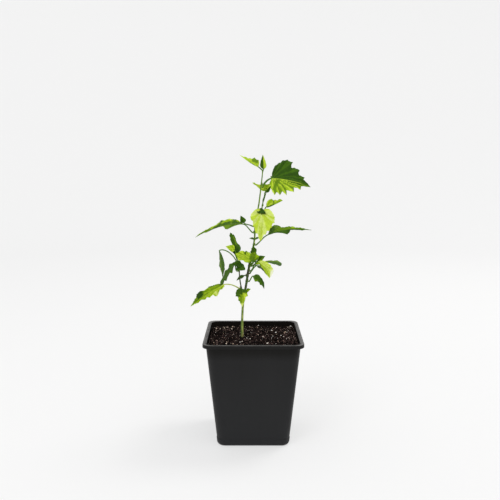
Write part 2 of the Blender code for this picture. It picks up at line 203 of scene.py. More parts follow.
fullTurn = 6.283  # radians
grainRelief = 1600.0  # how fine the lumps on a loose grain are
smallBias = 2.5  # the higher it is, the more of the strewn grains are small


def startTree(name, inputs):
    tree = bpy.data.node_groups.new(name, "GeometryNodeTree")
    tree.is_modifier = True
    tree.interface.new_socket("Geometry", in_out="INPUT", socket_type="NodeSocketGeometry")
    tree.interface.new_socket("Geometry", in_out="OUTPUT", socket_type="NodeSocketGeometry")
    for label, kind, value in inputs:
        socket = tree.interface.new_socket(label, in_out="INPUT", socket_type="NodeSocket" + kind)
        if value is not None:
            socket.default_value = value
    return tree, addNode(tree, "NodeGroupInput").outputs


def endTree(tree, geometry, material, smooth=True):
    shaded = made(tree, "GeometryNodeSetShadeSmooth", {"Geometry": geometry, "Shade Smooth": smooth})
    real = made(tree, "GeometryNodeRealizeInstances", {"Geometry": shaded})
    painted = made(tree, "GeometryNodeSetMaterial", {"Geometry": real, "Material": material})
    addNode(tree, "NodeGroupOutput", {"Geometry": painted})
    return tree


def roughened(tree, geometry, scale, height, stretch=(1, 1, 1)):
    # pushes a surface in and out along its normals by noise
    place = made(tree, "GeometryNodeInputPosition")
    grain = made(tree, "ShaderNodeVectorMath", {0: place, 1: stretch}, operation="MULTIPLY")
    lumps = addNode(tree, "ShaderNodeTexNoise", {"Vector": grain, "Scale": scale, "Detail": 3.0})
    centred = figure(tree, "SUBTRACT", lumps.outputs["Fac"], 0.5)
    push = figure(tree, "MULTIPLY", centred, height)
    normal = made(tree, "GeometryNodeInputNormal")
    offset = made(tree, "ShaderNodeVectorMath", {0: normal, "Scale": push}, operation="SCALE")
    return made(tree, "GeometryNodeSetPosition", {"Geometry": geometry, "Offset": offset})


def makeSweepTree():
    # a tube along each chain of edges, as thick as the attribute "thick" says
    tree, given = startTree("sweepTube", (
        ("Sides", "Int", 8), ("Relief", "Float", 0.0), ("Relief Scale", "Float", 900.0),
        ("Finish", "Material", None)))
    curve = made(tree, "GeometryNodeMeshToCurve", {"Mesh": given["Geometry"]})
    thick = made(tree, "GeometryNodeInputNamedAttribute", {"Name": "thick"}, data_type="FLOAT")
    ring = made(tree, "GeometryNodeCurvePrimitiveCircle", {"Resolution": given["Sides"], "Radius": 1.0})
    settings = {"Curve": curve, "Profile Curve": ring, "Scale": thick, "Fill Caps": True}
    tube = made(tree, "GeometryNodeCurveToMesh", settings)
    tube = roughened(tree, tube, given["Relief Scale"], given["Relief"], (1, 1, 0.25))
    return endTree(tree, tube, given["Finish"])


def makeScatterTree():
    # small rough grains strewn over a surface, sitting on its normals
    tree, given = startTree("scatterGrains", (
        ("Density", "Float", 1000.0), ("Smallest", "Float", 0.0003), ("Largest", "Float", 0.001),
        ("Flatness", "Float", 0.7), ("Tumble", "Float", 3.14), ("Lumps", "Float", 0.5), ("Detail", "Int", 1),
        ("Seed", "Int", 1), ("Finish", "Material", None)))
    strewn = addNode(tree, "GeometryNodeDistributePointsOnFaces", {
        "Mesh": given["Geometry"], "Density": given["Density"], "Seed": given["Seed"]})
    grain = made(tree, "GeometryNodeMeshIcoSphere", {"Radius": 1.0, "Subdivisions": given["Detail"]})
    chance = addNode(tree, "FunctionNodeRandomValue", {"Seed": given["Seed"]}, data_type="FLOAT").outputs[1]
    chance = figure(tree, "POWER", chance, smallBias)
    size = made(tree, "ShaderNodeMapRange", {
        "Value": chance, "To Min": given["Smallest"], "To Max": given["Largest"]})
    shape = vectorFrom(tree, size, size, figure(tree, "MULTIPLY", size, given["Flatness"]))
    tilt = vectorFrom(tree, given["Tumble"], given["Tumble"], fullTurn)
    turn = made(tree, "FunctionNodeRandomValue", {
        "Min": (0, 0, 0), "Max": tilt, "Seed": given["Seed"]}, data_type="FLOAT_VECTOR")
    turned = made(tree, "FunctionNodeRotateRotation", {
        "Rotation": strewn.outputs["Rotation"], "Rotate By": turn}, rotation_space="LOCAL")
    laid = made(tree, "GeometryNodeInstanceOnPoints", {
        "Points": strewn.outputs["Points"], "Instance": grain, "Rotation": turned, "Scale": shape})
    real = made(tree, "GeometryNodeRealizeInstances", {"Geometry": laid})
    height = figure(tree, "MULTIPLY", given["Lumps"], given["Largest"])
    return endTree(tree, roughened(tree, real, grainRelief, height), given["Finish"], smooth=False)


def makeFibreTree():
    # short bent fibres lying on a surface
    tree, given = startTree("strewFibres", (
        ("Density", "Float", 1000.0), ("Shortest", "Float", 0.001), ("Longest", "Float", 0.003),
        ("Thickness", "Float", 0.05), ("Tilt", "Float", 0.5), ("Seed", "Int", 1),
        ("Finish", "Material", None)))
    strewn = addNode(tree, "GeometryNodeDistributePointsOnFaces", {
        "Mesh": given["Geometry"], "Density": given["Density"], "Seed": given["Seed"]})
    bow = made(tree, "GeometryNodeCurveArc", {
        "Resolution": 6, "Radius": 1.0, "Start Angle": 0.9, "Sweep Angle": 1.3})
    low = made(tree, "GeometryNodeTransform", {"Geometry": bow, "Translation": (0, -0.9, 0)})
    ring = made(tree, "GeometryNodeCurvePrimitiveCircle", {"Resolution": 3, "Radius": given["Thickness"]})
    fibre = made(tree, "GeometryNodeCurveToMesh", {"Curve": low, "Profile Curve": ring, "Fill Caps": True})
    size = addNode(tree, "FunctionNodeRandomValue", {
        2: given["Shortest"], 3: given["Longest"], "Seed": given["Seed"]}, data_type="FLOAT").outputs[1]
    shape = vectorFrom(tree, size, size, size)
    high = vectorFrom(tree, given["Tilt"], given["Tilt"], fullTurn)
    below = figure(tree, "MULTIPLY", given["Tilt"], -1.0)
    floor = vectorFrom(tree, below, below, 0.0)
    turn = made(tree, "FunctionNodeRandomValue", {
        "Min": floor, "Max": high, "Seed": given["Seed"]}, data_type="FLOAT_VECTOR")
    laid = made(tree, "GeometryNodeInstanceOnPoints", {
        "Points": strewn.outputs["Points"], "Instance": fibre, "Rotation": turn, "Scale": shape})
    return endTree(tree, laid, given["Finish"])


sweepTree = makeSweepTree()
scatterTree = makeScatterTree()
fibreTree = makeFibreTree()


def sweptPiece(name, chains, sides, finish, relief=0.0, reliefScale=900.0):
    # chains are arrays of X, Y, Z and radius
    points = np.vstack([chain[:, :3] for chain in chains])
    edges, first = [], 0
    for chain in chains:
        edges += [(first + i, first + i + 1) for i in range(len(chain) - 1)]
        first += len(chain)
    piece = newPiece(name, points, edges=edges)
    thick = piece.data.attributes.new("thick", "FLOAT", "POINT")
    thick.data.foreach_set("value", np.concatenate([chain[:, 3] for chain in chains]))
    settings = {"Sides": sides, "Relief": relief, "Relief Scale": reliefScale, "Finish": finish}
    return growWith(piece, sweepTree, settings)


# Pot

pot = dict(
    height=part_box("pot")[1].z,
    rim=2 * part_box("pot")[1].x,
    rimCorner=0.0075,
    lipDrop=0.0034,
    lipWall=0.0010,
    lipRound=0.0007,
    bodyTop=0.0861,  # outer width of the body just under the lip
    foot=0.0678,
    bodyCorner=0.0080,
    footRound=0.0036,
    stepHeight=0.0065,  # the faint line that the mould leaves round the foot
    stepDepth=0.0003,
    wall=0.0010,
    floor=0.0016,
    hole=0.0035,
    holePlace=0.0215,
    holeDepth=0.010,
    holeSides=40,
    sole=0.0040,  # the underside's own ring, in from where the rounding starts
    innerRound=0.0020,  # where the inner walls meet the floor
    innerFoot=0.0030,  # height at which the floor's width is taken
    lipEdge=0.3,  # rounding of the lip's lower edge, as a share of its wall
    cornerSteps=14,
    sideCuts=7,
    roundSteps=7,
    edgeSteps=3,
    wallSteps=12,
    innerSteps=8,
    crease=38,  # degrees between faces past which an edge stays sharp
    sheenTo=0.010,  # the foot is painted a lighter, bluer grey as a painted sheen, most of all below this height
    lipShadeReach=0.0120,  # below the lip, where the painted shade begins
    lipShadeFull=0.0045,  # and where it is darkest
    highlightReach=0.0009,  # below the top
    highlightFull=0.0002,
    dustReach=0.0012,
    black=(0.0100, 0.0098, 0.0100),
    # painted sheen: the lighter bluish grey at the foot
    low=(0.0145, 0.0150, 0.0160),
    worn=(0.0140, 0.0144, 0.0150),
    lip=(0.0062, 0.0060, 0.0058),
    # painted shade under the lip
    underLipShade=(0.0022, 0.0018, 0.0010),
    # painted highlight on the flat of the rim
    rimHighlight=(0.140, 0.136, 0.132),
    dust=(0.100, 0.090, 0.080),
    # painted shade inside the pot
    innerShade=(0.0050, 0.0038, 0.0030),
)


def roundedSquare(width, corner, z, arc, cuts):
    half = width / 2
    middle = half - corner
    ring = []
    for quarter in range(4):
        turn = quarter * math.pi / 2
        centre = np.array((math.cos(turn) - math.sin(turn), math.sin(turn) + math.cos(turn))) * middle
        for step in range(arc + 1):
            angle = turn + step / arc * math.pi / 2
            ring.append((*(centre + corner * np.array((math.cos(angle), math.sin(angle)))), z))
        start = np.array(ring[-1])
        side = np.array((-math.cos(turn), -math.sin(turn), 0)) * 2 * middle
        for cut in range(cuts):
            ring.append(tuple(start + side * (cut + 1) / (cuts + 1)))
    return ring


def skin(rings):
    count = len(rings[0])
    points = [p for ring in rings for p in ring]
    faces = [tuple(reversed(range(count)))]
    for row in range(len(rings) - 1):
        for i in range(count):
            j = (i + 1) % count
            low, high = row * count, (row + 1) * count
            faces.append((low + i, low + j, high + j, high + i))
    faces.append(tuple(range((len(rings) - 1) * count, len(rings) * count)))
    return points, faces


def depthIn(x, y, width, corner):
    # how far a point lies inside a rounded square
    middle = width / 2 - corner
    overX, overY = abs(x) - middle, abs(y) - middle
    return corner - math.hypot(max(overX, 0), max(overY, 0)) - min(max(overX, overY), 0)


def bodyWidth(z):
    share = (z - pot["footRound"]) / (pot["height"] - pot["lipDrop"] - pot["footRound"])
    return pot["foot"] + (pot["bodyTop"] - pot["foot"]) * share


def innerWidth(z):
    return bodyWidth(z) - 2 * (pot["wall"] + pot["stepDepth"])


def quarterArc(inset, z, radius, startAngle, steps):
    # (inset, height) along a quarter circle about a centre
    found = []
    for step in range(steps + 1):
        angle = math.radians(startAngle + 90 * step / steps)
        found.append((inset + radius * math.cos(angle), z + radius * math.sin(angle)))
    return found


def potProfile():
    # half width, corner radius and height, from the middle of the underside up, over the lip and down inside
    p = pot
    top, corner, steps = p["height"], p["bodyCorner"], p["roundSteps"]
    foot, rounding = p["foot"] / 2, p["footRound"]
    line = [(foot - rounding - p["sole"], corner - rounding, 0.0)]
    for half, z in quarterArc(foot - rounding, rounding, rounding, -90, steps):
        line.append((half, corner - (foot - half), z))
    depth = p["stepDepth"]
    low = p["stepHeight"]
    line += [(bodyWidth(low) / 2, corner, low), (bodyWidth(low) / 2 - depth / 3, corner, low + depth / 3)]
    stepTop, under = low + depth * 1.2, top - p["lipWall"]
    line.append((bodyWidth(low) / 2 - depth, corner, stepTop))
    for step in range(1, p["wallSteps"] + 1):
        z = stepTop + (under - p["lipRound"] - stepTop) * step / p["wallSteps"]
        line.append((bodyWidth(z) / 2 - depth, corner, z))
    rimHalf, rimCorner, lipRound, lipWall = p["rim"] / 2, p["rimCorner"], p["lipRound"], p["lipWall"]
    skirt = rimHalf - lipWall
    line.append((bodyWidth(under) / 2 - depth + lipRound, corner, under))
    line.append((skirt - lipRound / 2, rimCorner - lipWall, under))
    line.append((skirt, rimCorner - lipWall, under - lipRound / 2))
    bottom = top - p["lipDrop"]
    edge = lipWall * p["lipEdge"]
    lip = quarterArc(skirt + edge, bottom + edge, edge, 180, p["edgeSteps"])
    lip += quarterArc(rimHalf - edge, bottom + edge, edge, 270, p["edgeSteps"])
    lip += quarterArc(rimHalf - lipRound, top - lipRound, lipRound, 0, steps)
    line += [(half, rimCorner - (rimHalf - half), z) for half, z in lip]
    inner, innerCorner = innerWidth(top) / 2, corner - p["wall"]
    for half, z in reversed(quarterArc(inner + lipRound, top - lipRound, lipRound, 90, steps)):
        line.append((half, innerCorner + (half - inner), z))
    bowl = p["innerRound"]
    for step in range(1, p["innerSteps"] + 1):
        z = top - lipRound - (top - lipRound - p["floor"] - bowl) * step / p["innerSteps"]
        line.append((innerWidth(z) / 2, innerCorner, z))
    floorArc = quarterArc(innerWidth(p["innerFoot"]) / 2 - bowl, p["floor"] + bowl, bowl, 270, 4)
    line += [(half, innerCorner - bowl / 2, z) for half, z in reversed(floorArc)]
    return line


def makePotFinish():
    material, tree, shader = newFinish("satinBlackPlastic", 0.5, 0.16)
    height = partOf(tree, placed(tree), "Z")
    top, lipFoot = pot["height"], pot["height"] - pot["lipDrop"]
    cloud = noiseOn(tree, placed(tree, (1, 1, 0.5)), 30.0, 3.0)
    # painted sheen: lighter bluish grey at the foot, fading to black towards the lip
    fresh = mixed(tree, span(tree, height, pot["sheenTo"], lipFoot, 0.0, 1.0), pot["low"], pot["black"])
    base = mixed(tree, span(tree, cloud, 0.35, 0.7, 0.0, 0.6), fresh, pot["worn"])
    # painted shade darkens the body just under the lip
    under = span(tree, height, lipFoot - pot["lipShadeReach"], lipFoot - pot["lipShadeFull"], 0.0, 0.85)
    below = figure(tree, "LESS_THAN", height, lipFoot)
    lipShaded = figure(tree, "MULTIPLY", under, below)
    above = figure(tree, "SUBTRACT", 1.0, below)
    base = mixed(tree, above, mixed(tree, lipShaded, base, pot["underLipShade"]), pot["lip"])
    # painted highlight: the flat of the rim is painted a patchy grey; it is also dusty
    flat = span(tree, facing(tree, "Z"), 0.35, 0.95, 0.0, 1.0)
    nearTop = span(tree, height, top - pot["highlightReach"], top - pot["highlightFull"], 0.0, 1.0)
    highlighted = figure(tree, "MULTIPLY", flat, nearTop)
    patchy = span(tree, noiseOn(tree, placed(tree), 160.0, 4.0), 0.3, 0.6, 0.55, 1.0)
    base = mixed(tree, figure(tree, "MULTIPLY", highlighted, patchy), base, pot["rimHighlight"])
    specks = noiseOn(tree, placed(tree), 420.0, 6.0, 0.7)
    nearRim = span(tree, height, top - pot["dustReach"], top, 0.0, 0.8)
    dusty = figure(tree, "MULTIPLY", span(tree, specks, 0.54, 0.74, 0.0, 1.0), nearRim)
    tree.links.new(mixed(tree, dusty, base, pot["dust"]), shader.inputs["Base Color"])
    streaks = noiseOn(tree, placed(tree, (260, 260, 14)), 1.0, 3.0)
    tree.links.new(span(tree, streaks, 0.3, 0.75, 0.40, 0.58), shader.inputs["Roughness"])
    grain = noiseOn(tree, placed(tree), 2600.0, 2.0)
    bumped(tree, shader, mixed(tree, 0.35, streaks, grain), 0.00006, 0.6)
    return material


def makeInnerShadeFinish():
    # painted shade: the inside of the pot is painted near black, in blotches
    material, tree, shader = newFinish("innerShadePlastic", 0.85, 0.06)
    blotches = noiseOn(tree, placed(tree), 160.0, 5.0, 0.6)
    colour = mixed(tree, blotches, pot["innerShade"], scaled(pot["innerShade"], 2.2))
    tree.links.new(colour, shader.inputs["Base Color"])
    bumped(tree, shader, noiseOn(tree, placed(tree), 700.0, 5.0), 0.0003)
    return material


def drillDrains(piece):
    for x in (-1, 1):
        for y in (-1, 1):
            bpy.ops.mesh.primitive_cylinder_add(
                vertices=pot["holeSides"], radius=pot["hole"], depth=pot["holeDepth"],
                location=(x * pot["holePlace"], y * pot["holePlace"], 0))
            cutter = bpy.context.active_object
            cut = piece.modifiers.new("drain", "BOOLEAN")
            cut.operation, cut.solver, cut.object = "DIFFERENCE", "EXACT", cutter
            plainMesh(piece)
            bpy.data.objects.remove(cutter)


def makePot():
    rings = [roundedSquare(2 * half, corner, z, pot["cornerSteps"], pot["sideCuts"])
             for half, corner, z in potProfile()]
    piece = newPiece("potShell", *skin(rings))
    drillDrains(piece)
    piece.data.shade_smooth()
    piece.data.set_sharp_from_angle(angle=math.radians(pot["crease"]))
    piece.data.materials.clear()
    piece.data.materials.append(makePotFinish())
    piece.data.materials.append(makeInnerShadeFinish())
    for face in piece.data.polygons:
        # the inner walls and the floor, which take the painted shade
        x, y, z = face.center
        inside = depthIn(x, y, bodyWidth(z), pot["bodyCorner"]) > pot["stepDepth"] + pot["wall"] / 2
        face.material_index = int(inside and pot["floor"] * 0.9 < z < pot["height"] - pot["lipRound"])
    addToPart(piece, "pot_plastic", "pot")


makePot()


# Soil

soil = dict(
    edgeHeight=0.0966,
    mound=0.0009,
    ripple=0.0004,
    ripples=(190, 230),
    clearance=0.0005,  # from the pot's wall
    lump=0.0024,  # height of its clods
    clodScale=260,
    clodShare=0.55,  # and the rest of the height is finer
    fineScale=900,
    swell=0.0011,  # height of its wide humps
    swellScale=85,
    wallFade=22,  # the higher it is, the nearer to the wall the clods go
    settled=0.0020,  # it lies this much lower along the back wall
    settledFrom=0.35,  # share of the half width
    looseShare=0.99,  # the loose bits stay this far in from the wall
    looseLift=0.0003,  # the pale grit and the fibres lie this much higher than the crumbs
    bottomGap=0.0004,  # from the pot's floor
    bottomInset=0.001,
    rings=70,
    arc=10,
    sideCuts=34,
    dark=(0.0024, 0.0018, 0.0015),
    brown=(0.0075, 0.0046, 0.0038),
    rust=(0.048, 0.028, 0.025),
    tan=(0.210, 0.140, 0.122),
    patchScale=700.0,
    patchDepth=0.0006,
)
crumbLooks = {
    # name: depth of its bumps, then its colours from the darkest crumb to the lightest
    "peatClod": (0.0003, (
        (0.00, soil["dark"]), (0.60, soil["brown"]), (1.00, scaled(soil["rust"], 0.7)))),
    "peatCrumb": (0.0002, (
        (0.00, soil["dark"]), (0.50, soil["brown"]), (0.84, soil["rust"]), (1.00, soil["tan"]))),
    "paleGrit": (0.0001, (
        (0.00, (0.34, 0.22, 0.17)), (0.45, (0.72, 0.56, 0.42)), (0.80, (0.92, 0.84, 0.76)),
        (1.00, (0.95, 0.94, 0.90)))),
    "coirFibre": (0.0001, (
        (0.00, (0.016, 0.009, 0.007)), (0.50, (0.052, 0.029, 0.026)), (1.00, (0.190, 0.115, 0.100)))),
}
looseGrains = (
    # name, looks, lift, density a square metre, smallest, largest, flatness, lumps, detail, seed
    ("soilCrumbs", "peatCrumb", 0.0, 620000.0, 0.00030, 0.00100, 0.65, 0.9, 1, 11),
    ("soilClods", "peatClod", 0.0, 70000.0, 0.00070, 0.00160, 0.60, 0.9, 2, 12),
    ("perliteGrains", "paleGrit", soil["looseLift"], 12500.0, 0.00030, 0.00088, 0.85, 0.45, 2, 24),
    ("sandGrains", "paleGrit", soil["looseLift"], 62000.0, 0.00012, 0.00036, 0.9, 0.45, 1, 27),
)
grainInputs = ("Density", "Smallest", "Largest", "Flatness", "Lumps", "Detail", "Seed")
coir = {
    "Density": 100000.0, "Shortest": 0.0005, "Longest": 0.0016, "Thickness": 0.07, "Tilt": 0.5, "Seed": 31,
}


def soilTop(x, y):
    half = innerWidth(soil["edgeHeight"]) / 2
    rise = max(0.0, 1 - (max(abs(x), abs(y)) / half) ** 2)
    ripple = math.sin(soil["ripples"][0] * x + 1.3) * math.cos(soil["ripples"][1] * y - 0.4)
    back = max(0.0, y / half - soil["settledFrom"]) / (1 - soil["settledFrom"])
    level = soil["edgeHeight"] - soil["settled"] * back * back * (3 - 2 * min(1.0, back))
    return level + rise * (soil["mound"] + soil["ripple"] * ripple)


def clodded(x, y):
    # the soil's height with its clods, which die out at the wall
    half = innerWidth(soil["edgeHeight"]) / 2
    room = min(1.0, soil["wallFade"] * (1 - max(abs(x), abs(y)) / half))
    wide = noise.noise(Vector((x, y, 0.9)) * soil["swellScale"])
    coarse = noise.fractal(Vector((x, y, 0.3)) * soil["clodScale"], 1.0, 2.1, 4)
    fine = noise.turbulence(Vector((x, y, 0.7)) * soil["fineScale"], 3, False)
    share = soil["clodShare"]
    clods = soil["lump"] * (share * coarse + (1 - share) * (fine - 0.5))
    return soilTop(x, y) + room * (soil["swell"] * wide + clods)


def makeSoilFinish():
    material, tree, shader = newFinish("pottingMix", 0.95, 0.04)
    where = placed(tree)
    patches = noiseOn(tree, where, soil["patchScale"], 5.0, 0.65)
    colour = ramp(tree, patches, ((0.30, soil["dark"]), (0.52, soil["brown"]), (0.78, soil["rust"])))
    tree.links.new(colour, shader.inputs["Base Color"])
    bumped(tree, shader, noiseOn(tree, where, soil["patchScale"] * 3, 6.0, 0.7), soil["patchDepth"])
    return material


def makeCrumbFinish(name):
    # every crumb has a shade of its own
    depth, stops = crumbLooks[name]
    material, tree, shader = newFinish(name, 0.95, 0.06)
    where = placed(tree)
    chance = addNode(tree, "ShaderNodeNewGeometry").outputs["Random Per Island"]
    shade = figure(tree, "MULTIPLY_ADD", noiseOn(tree, where, 900.0, 3.0), 0.35, chance)
    tree.links.new(ramp(tree, span(tree, shade, 0.17, 1.17, 0.0, 1.0), stops), shader.inputs["Base Color"])
    bumped(tree, shader, noiseOn(tree, where, 2200.0, 4.0, 0.7), depth)
    return material


def soilMesh():
    # a block that fills the pot, its lumpy top in rings from the wall to the middle
    low, top = pot["floor"] + soil["bottomGap"], soil["edgeHeight"]
    corner = pot["bodyCorner"] - pot["wall"] - soil["clearance"]
    arc, cuts = soil["arc"], soil["sideCuts"]
    edge = roundedSquare(innerWidth(top) - 2 * soil["clearance"], corner, top, arc, cuts)
    edge = [(x, y, soilTop(x, y)) for x, y, _ in edge]
    lowWidth = innerWidth(low) - 2 * soil["clearance"] - soil["bottomInset"]
    rings = [roundedSquare(lowWidth, corner, low, arc, cuts), edge]
    flat = np.array(edge)
    for ring in range(1, soil["rings"]):
        level = flat * (1 - ring / soil["rings"])
        rings.append([(x, y, clodded(x, y)) for x, y, _ in level])
    points, faces = skin(rings)
    faces.pop()  # the flat cap; the innermost ring is closed with a point instead
    count = len(edge)
    first = len(points) - count
    points.append((0, 0, clodded(0, 0)))
    faces += [(first + i, first + (i + 1) % count, len(points) - 1) for i in range(count)]
    return points, faces


def makeSoil():
    points, faces = soilMesh()
    bed = newPiece("soilBed", points, faces)
    bed.data.materials.append(makeSoilFinish())
    # the open top alone, a little in from the wall, carries the loose bits
    used = [face for face in faces if all(points[i][2] > soil["edgeHeight"] / 2 for i in face)]
    inset = soil["looseShare"]
    ground = [(x * inset, y * inset, clodded(x * inset, y * inset)) for x, y, _ in points]
    finishes = {name: makeCrumbFinish(name) for name in crumbLooks}

    def strew(name, looks, lift, tree, values):
        raised = [(x, y, z + lift) for x, y, z in ground]
        piece = newPiece(name, raised, used)
        addToPart(growWith(piece, tree, {**values, "Finish": finishes[looks]}), "potting_soil")

    for name, looks, lift, *values in looseGrains:
        strew(name, looks, lift, scatterTree, dict(zip(grainInputs, values)))
    strew("coirFibres", "coirFibre", soil["looseLift"], fibreTree, coir)
    addToPart(bed, "potting_soil", "potting_soil")


makeSoil()


# Stems

limbs = {
    "main_stem": dict(
        route=(
            (-0.0104, -0.0090, 0.0958),  # sunk in the mix
            (-0.0104, -0.0084, 0.0979), (-0.0104, -0.0045, 0.1126), (-0.0094, -0.0006, 0.1295),
            (-0.0068, 0.0017, 0.1446), (-0.0043, 0.0027, 0.1600), (-0.0010, 0.0030, 0.1755),
            (0.0013, 0.0024, 0.1895), (0.0019, 0.0020, 0.2040), (0.0050, 0.0028, 0.2200),
            (0.0072, 0.0026, 0.2370), (0.0087, 0.0020, 0.2515),
        ),
        radii=(
            0.00140, 0.00135, 0.00112, 0.00108, 0.00112, 0.00108, 0.00088, 0.00078, 0.00074, 0.00068, 0.00062,
            0.00050,
        ),
        flare=0.0003,
    ),
    "left_shoot": dict(
        joins=("main_stem", 0.1372, 190),
        route=(
            (-0.0113, 0.0005, 0.1425), (-0.0124, -0.0005, 0.1495), (-0.0131, -0.0010, 0.1575),
            (-0.0130, -0.0004, 0.1640),
        ),
        radii=(0.00066, 0.00064, 0.00060, 0.00055, 0.00050),
        flare=0.0,
    ),
    "upper_shoot": dict(
        joins=("main_stem", 0.2110, 30),
        route=((0.0078, 0.0042, 0.2165), (0.0090, 0.0050, 0.2225), (0.0108, 0.0050, 0.2310)),
        radii=(0.00056, 0.00054, 0.00050, 0.00045),
        flare=0.0,
    ),
}
stem = dict(
    flareHeight=0.0022,
    steps=44,  # rings between two points of a route
    sides=26,
    relief=0.00022,
    reliefScale=1500.0,
    knuckle=0.00020,  # how far a node swells
    knuckleHeight=0.0011,
    pores=260000.0,  # a square metre
    bud=0.0016,  # length of the bud over a stalk's foot
    budRadius=0.00046,
    budRise=1.6,  # the higher it is, the more upright the bud
    budSeat=0.0009,  # how far it sits above the foot
    budSunk=0.15,  # share of its length below that
    budSwell=(0.7, 1.0, 0.95, 0.72, 0.4, 0.08),  # shares of its radius from foot to tip
    nearby=0.002,  # the stem's direction is taken this far below and above a point
)
clear = 0.0003  # from the bark to a stalk's foot
leafSizes = dict(
    thickness=0.00030,
    stalkRadius=0.00058,
    stalkSteps=25,
    footSwell=0.25,  # how much thicker a stalk is at its foot
    thinning=0.12,  # and how much thinner at its end
    leaving=0.4,  # share of the stalk over which it leaves the stem, and then
    arriving=0.3,  # the share over which it comes into line with the blade
    spur=0.0013,
    spurTip=0.0004,
    spurRadius=0.00062,
    spurSwell=(1.1, 1.25, 1.05, 0.9, 0.5),  # shares of its radius from the stem outwards
    smallBlade=0.0185,  # shorter blades have a plain margin
    ribShare=0.14,  # the stalk runs on under the blade for this share of it
    netAlong=130,  # flat coordinates to a metre, on which the net of fine veins is laid
    netAcross=100,
)


def smoothLine(points, steps):
    # a curve through the points; any columns after XYZ are carried
    points = np.array(points, float)
    ends = np.vstack((2 * points[0] - points[1], points, 2 * points[-1] - points[-2]))
    line = []
    for a, b, c, d in zip(ends, ends[1:], ends[2:], ends[3:]):
        for step in range(steps):
            t = step / steps
            line.append(0.5 * (2 * b + (c - a) * t + (2 * a - 5 * b + 4 * c - d) * t**2
                               + (3 * b - a - 3 * c + d) * t**3))
    line.append(points[-1])
    return np.array(line)


centres, stemRadii = {}, {}


def pointAt(line, height):
    return np.array([np.interp(height, line[:, 2], line[:, k]) for k in range(3)])


def limbStart(parent, height, heading):
    # the stem's middle at a height, the foot of what grows from it there, and the way out
    line, near = centres[parent], stem["nearby"]
    axisPoint = pointAt(line, height)
    low, high = max(height - near, line[0, 2]), min(height + near, line[-1, 2])
    out = across(toward(heading, 0), unit(pointAt(line, high) - pointAt(line, low)))
    radius = np.interp(height, line[:, 2], stemRadii[parent])
    return axisPoint, axisPoint + out * (radius + clear), out


def planLimb(name, limb):
    route = [(*point, radius) for point, radius in zip(limb["route"], limb["radii"][-len(limb["route"]):])]
    if "joins" in limb:
        axisPoint, foot, axis = limbStart(*limb["joins"])
        route.insert(0, (*(foot + axis * leafSizes["spur"]), limb["radii"][0]))
        route.insert(0, (*axisPoint, limb["radii"][0]))
    line = smoothLine(route, stem["steps"])
    radii = line[:, 3] + limb["flare"] * np.exp(-(line[:, 2] - line[0, 2]) / stem["flareHeight"])
    centres[name], stemRadii[name] = line[:, :3], radii


def swollenRadii(name):
    # the stem is thicker where something grows from it
    heights = [mass["height"] for mass in masses.values() if mass["limb"] == name and "height" in mass]
    heights += [limb["joins"][1] for limb in limbs.values() if limb.get("joins", ("",))[0] == name]
    radii = stemRadii[name].copy()
    for height in heights:
        radii += stem["knuckle"] * np.exp(-((centres[name][:, 2] - height) / stem["knuckleHeight"]) ** 2)
    return radii


for limbName, limbSpec in limbs.items():
    planLimb(limbName, limbSpec)


bark = dict(
    low=0.090,  # heights between which its zones of colour are laid
    high=0.260,
    zones=(
        (0.000, (0.200, 0.130, 0.050)), (0.045, (0.240, 0.190, 0.070)), (0.100, (0.330, 0.400, 0.080)),
        (0.270, (0.360, 0.440, 0.100)), (0.310, (0.060, 0.075, 0.025)), (0.440, (0.045, 0.040, 0.020)),
        (0.480, (0.080, 0.190, 0.020)), (0.600, (0.110, 0.260, 0.030)), (0.800, (0.085, 0.210, 0.028)),
        (1.000, (0.120, 0.290, 0.035)),
    ),
    paintedSunFrom=(0.40, 0.50),  # the painted sunlit green comes in between these shares of the height
    shade=(0.30, 0.40, 0.30),  # multiplies the colour as painted shade on the side away from the light
    paintedSun=(0.330, 0.480, 0.020),
    streak=(0.050, 0.120, 0.020),
    fleck=(0.35, 0.36, 0.16),
)


def makeBarkFinish():
    material, tree, shader = newFinish("greenBark", 0.6, 0.12)
    share = span(tree, partOf(tree, placed(tree), "Z"), bark["low"], bark["high"], 0.0, 1.0)
    zones = ramp(tree, share, bark["zones"])
    streaks = noiseOn(tree, placed(tree, (700, 700, 110)), 1.0, 4.0)
    # painted shade makes the side away from the light a deeper green, and painted light makes the other
    # yellower
    aside = facing(tree, "X")
    deep = mixed(tree, span(tree, aside, -0.7, 0.1, 1.0, 0.0), zones, bark["shade"], "MULTIPLY")
    upper = span(tree, share, *bark["paintedSunFrom"], 0.0, 1.0)
    paintedSun = figure(tree, "MULTIPLY", span(tree, aside, -0.3, 0.5, 0.0, 0.9), upper)
    zones = mixed(tree, paintedSun, deep, bark["paintedSun"])
    dark = mixed(tree, span(tree, streaks, 0.46, 0.62, 0.0, 0.75), zones, bark["streak"])
    flecks = noiseOn(tree, placed(tree, (2400, 2400, 500)), 1.0, 3.0)
    colour = mixed(tree, span(tree, flecks, 0.55, 0.75, 0.0, 0.35), dark, bark["fleck"])
    tree.links.new(colour, shader.inputs["Base Color"])
    tree.links.new(span(tree, flecks, 0.3, 0.7, 0.45, 0.68), shader.inputs["Roughness"])
    bumped(tree, shader, noiseOn(tree, placed(tree, (3000, 3000, 300)), 1.0, 4.0), 0.00012, 0.7)
    return material


# Leaves

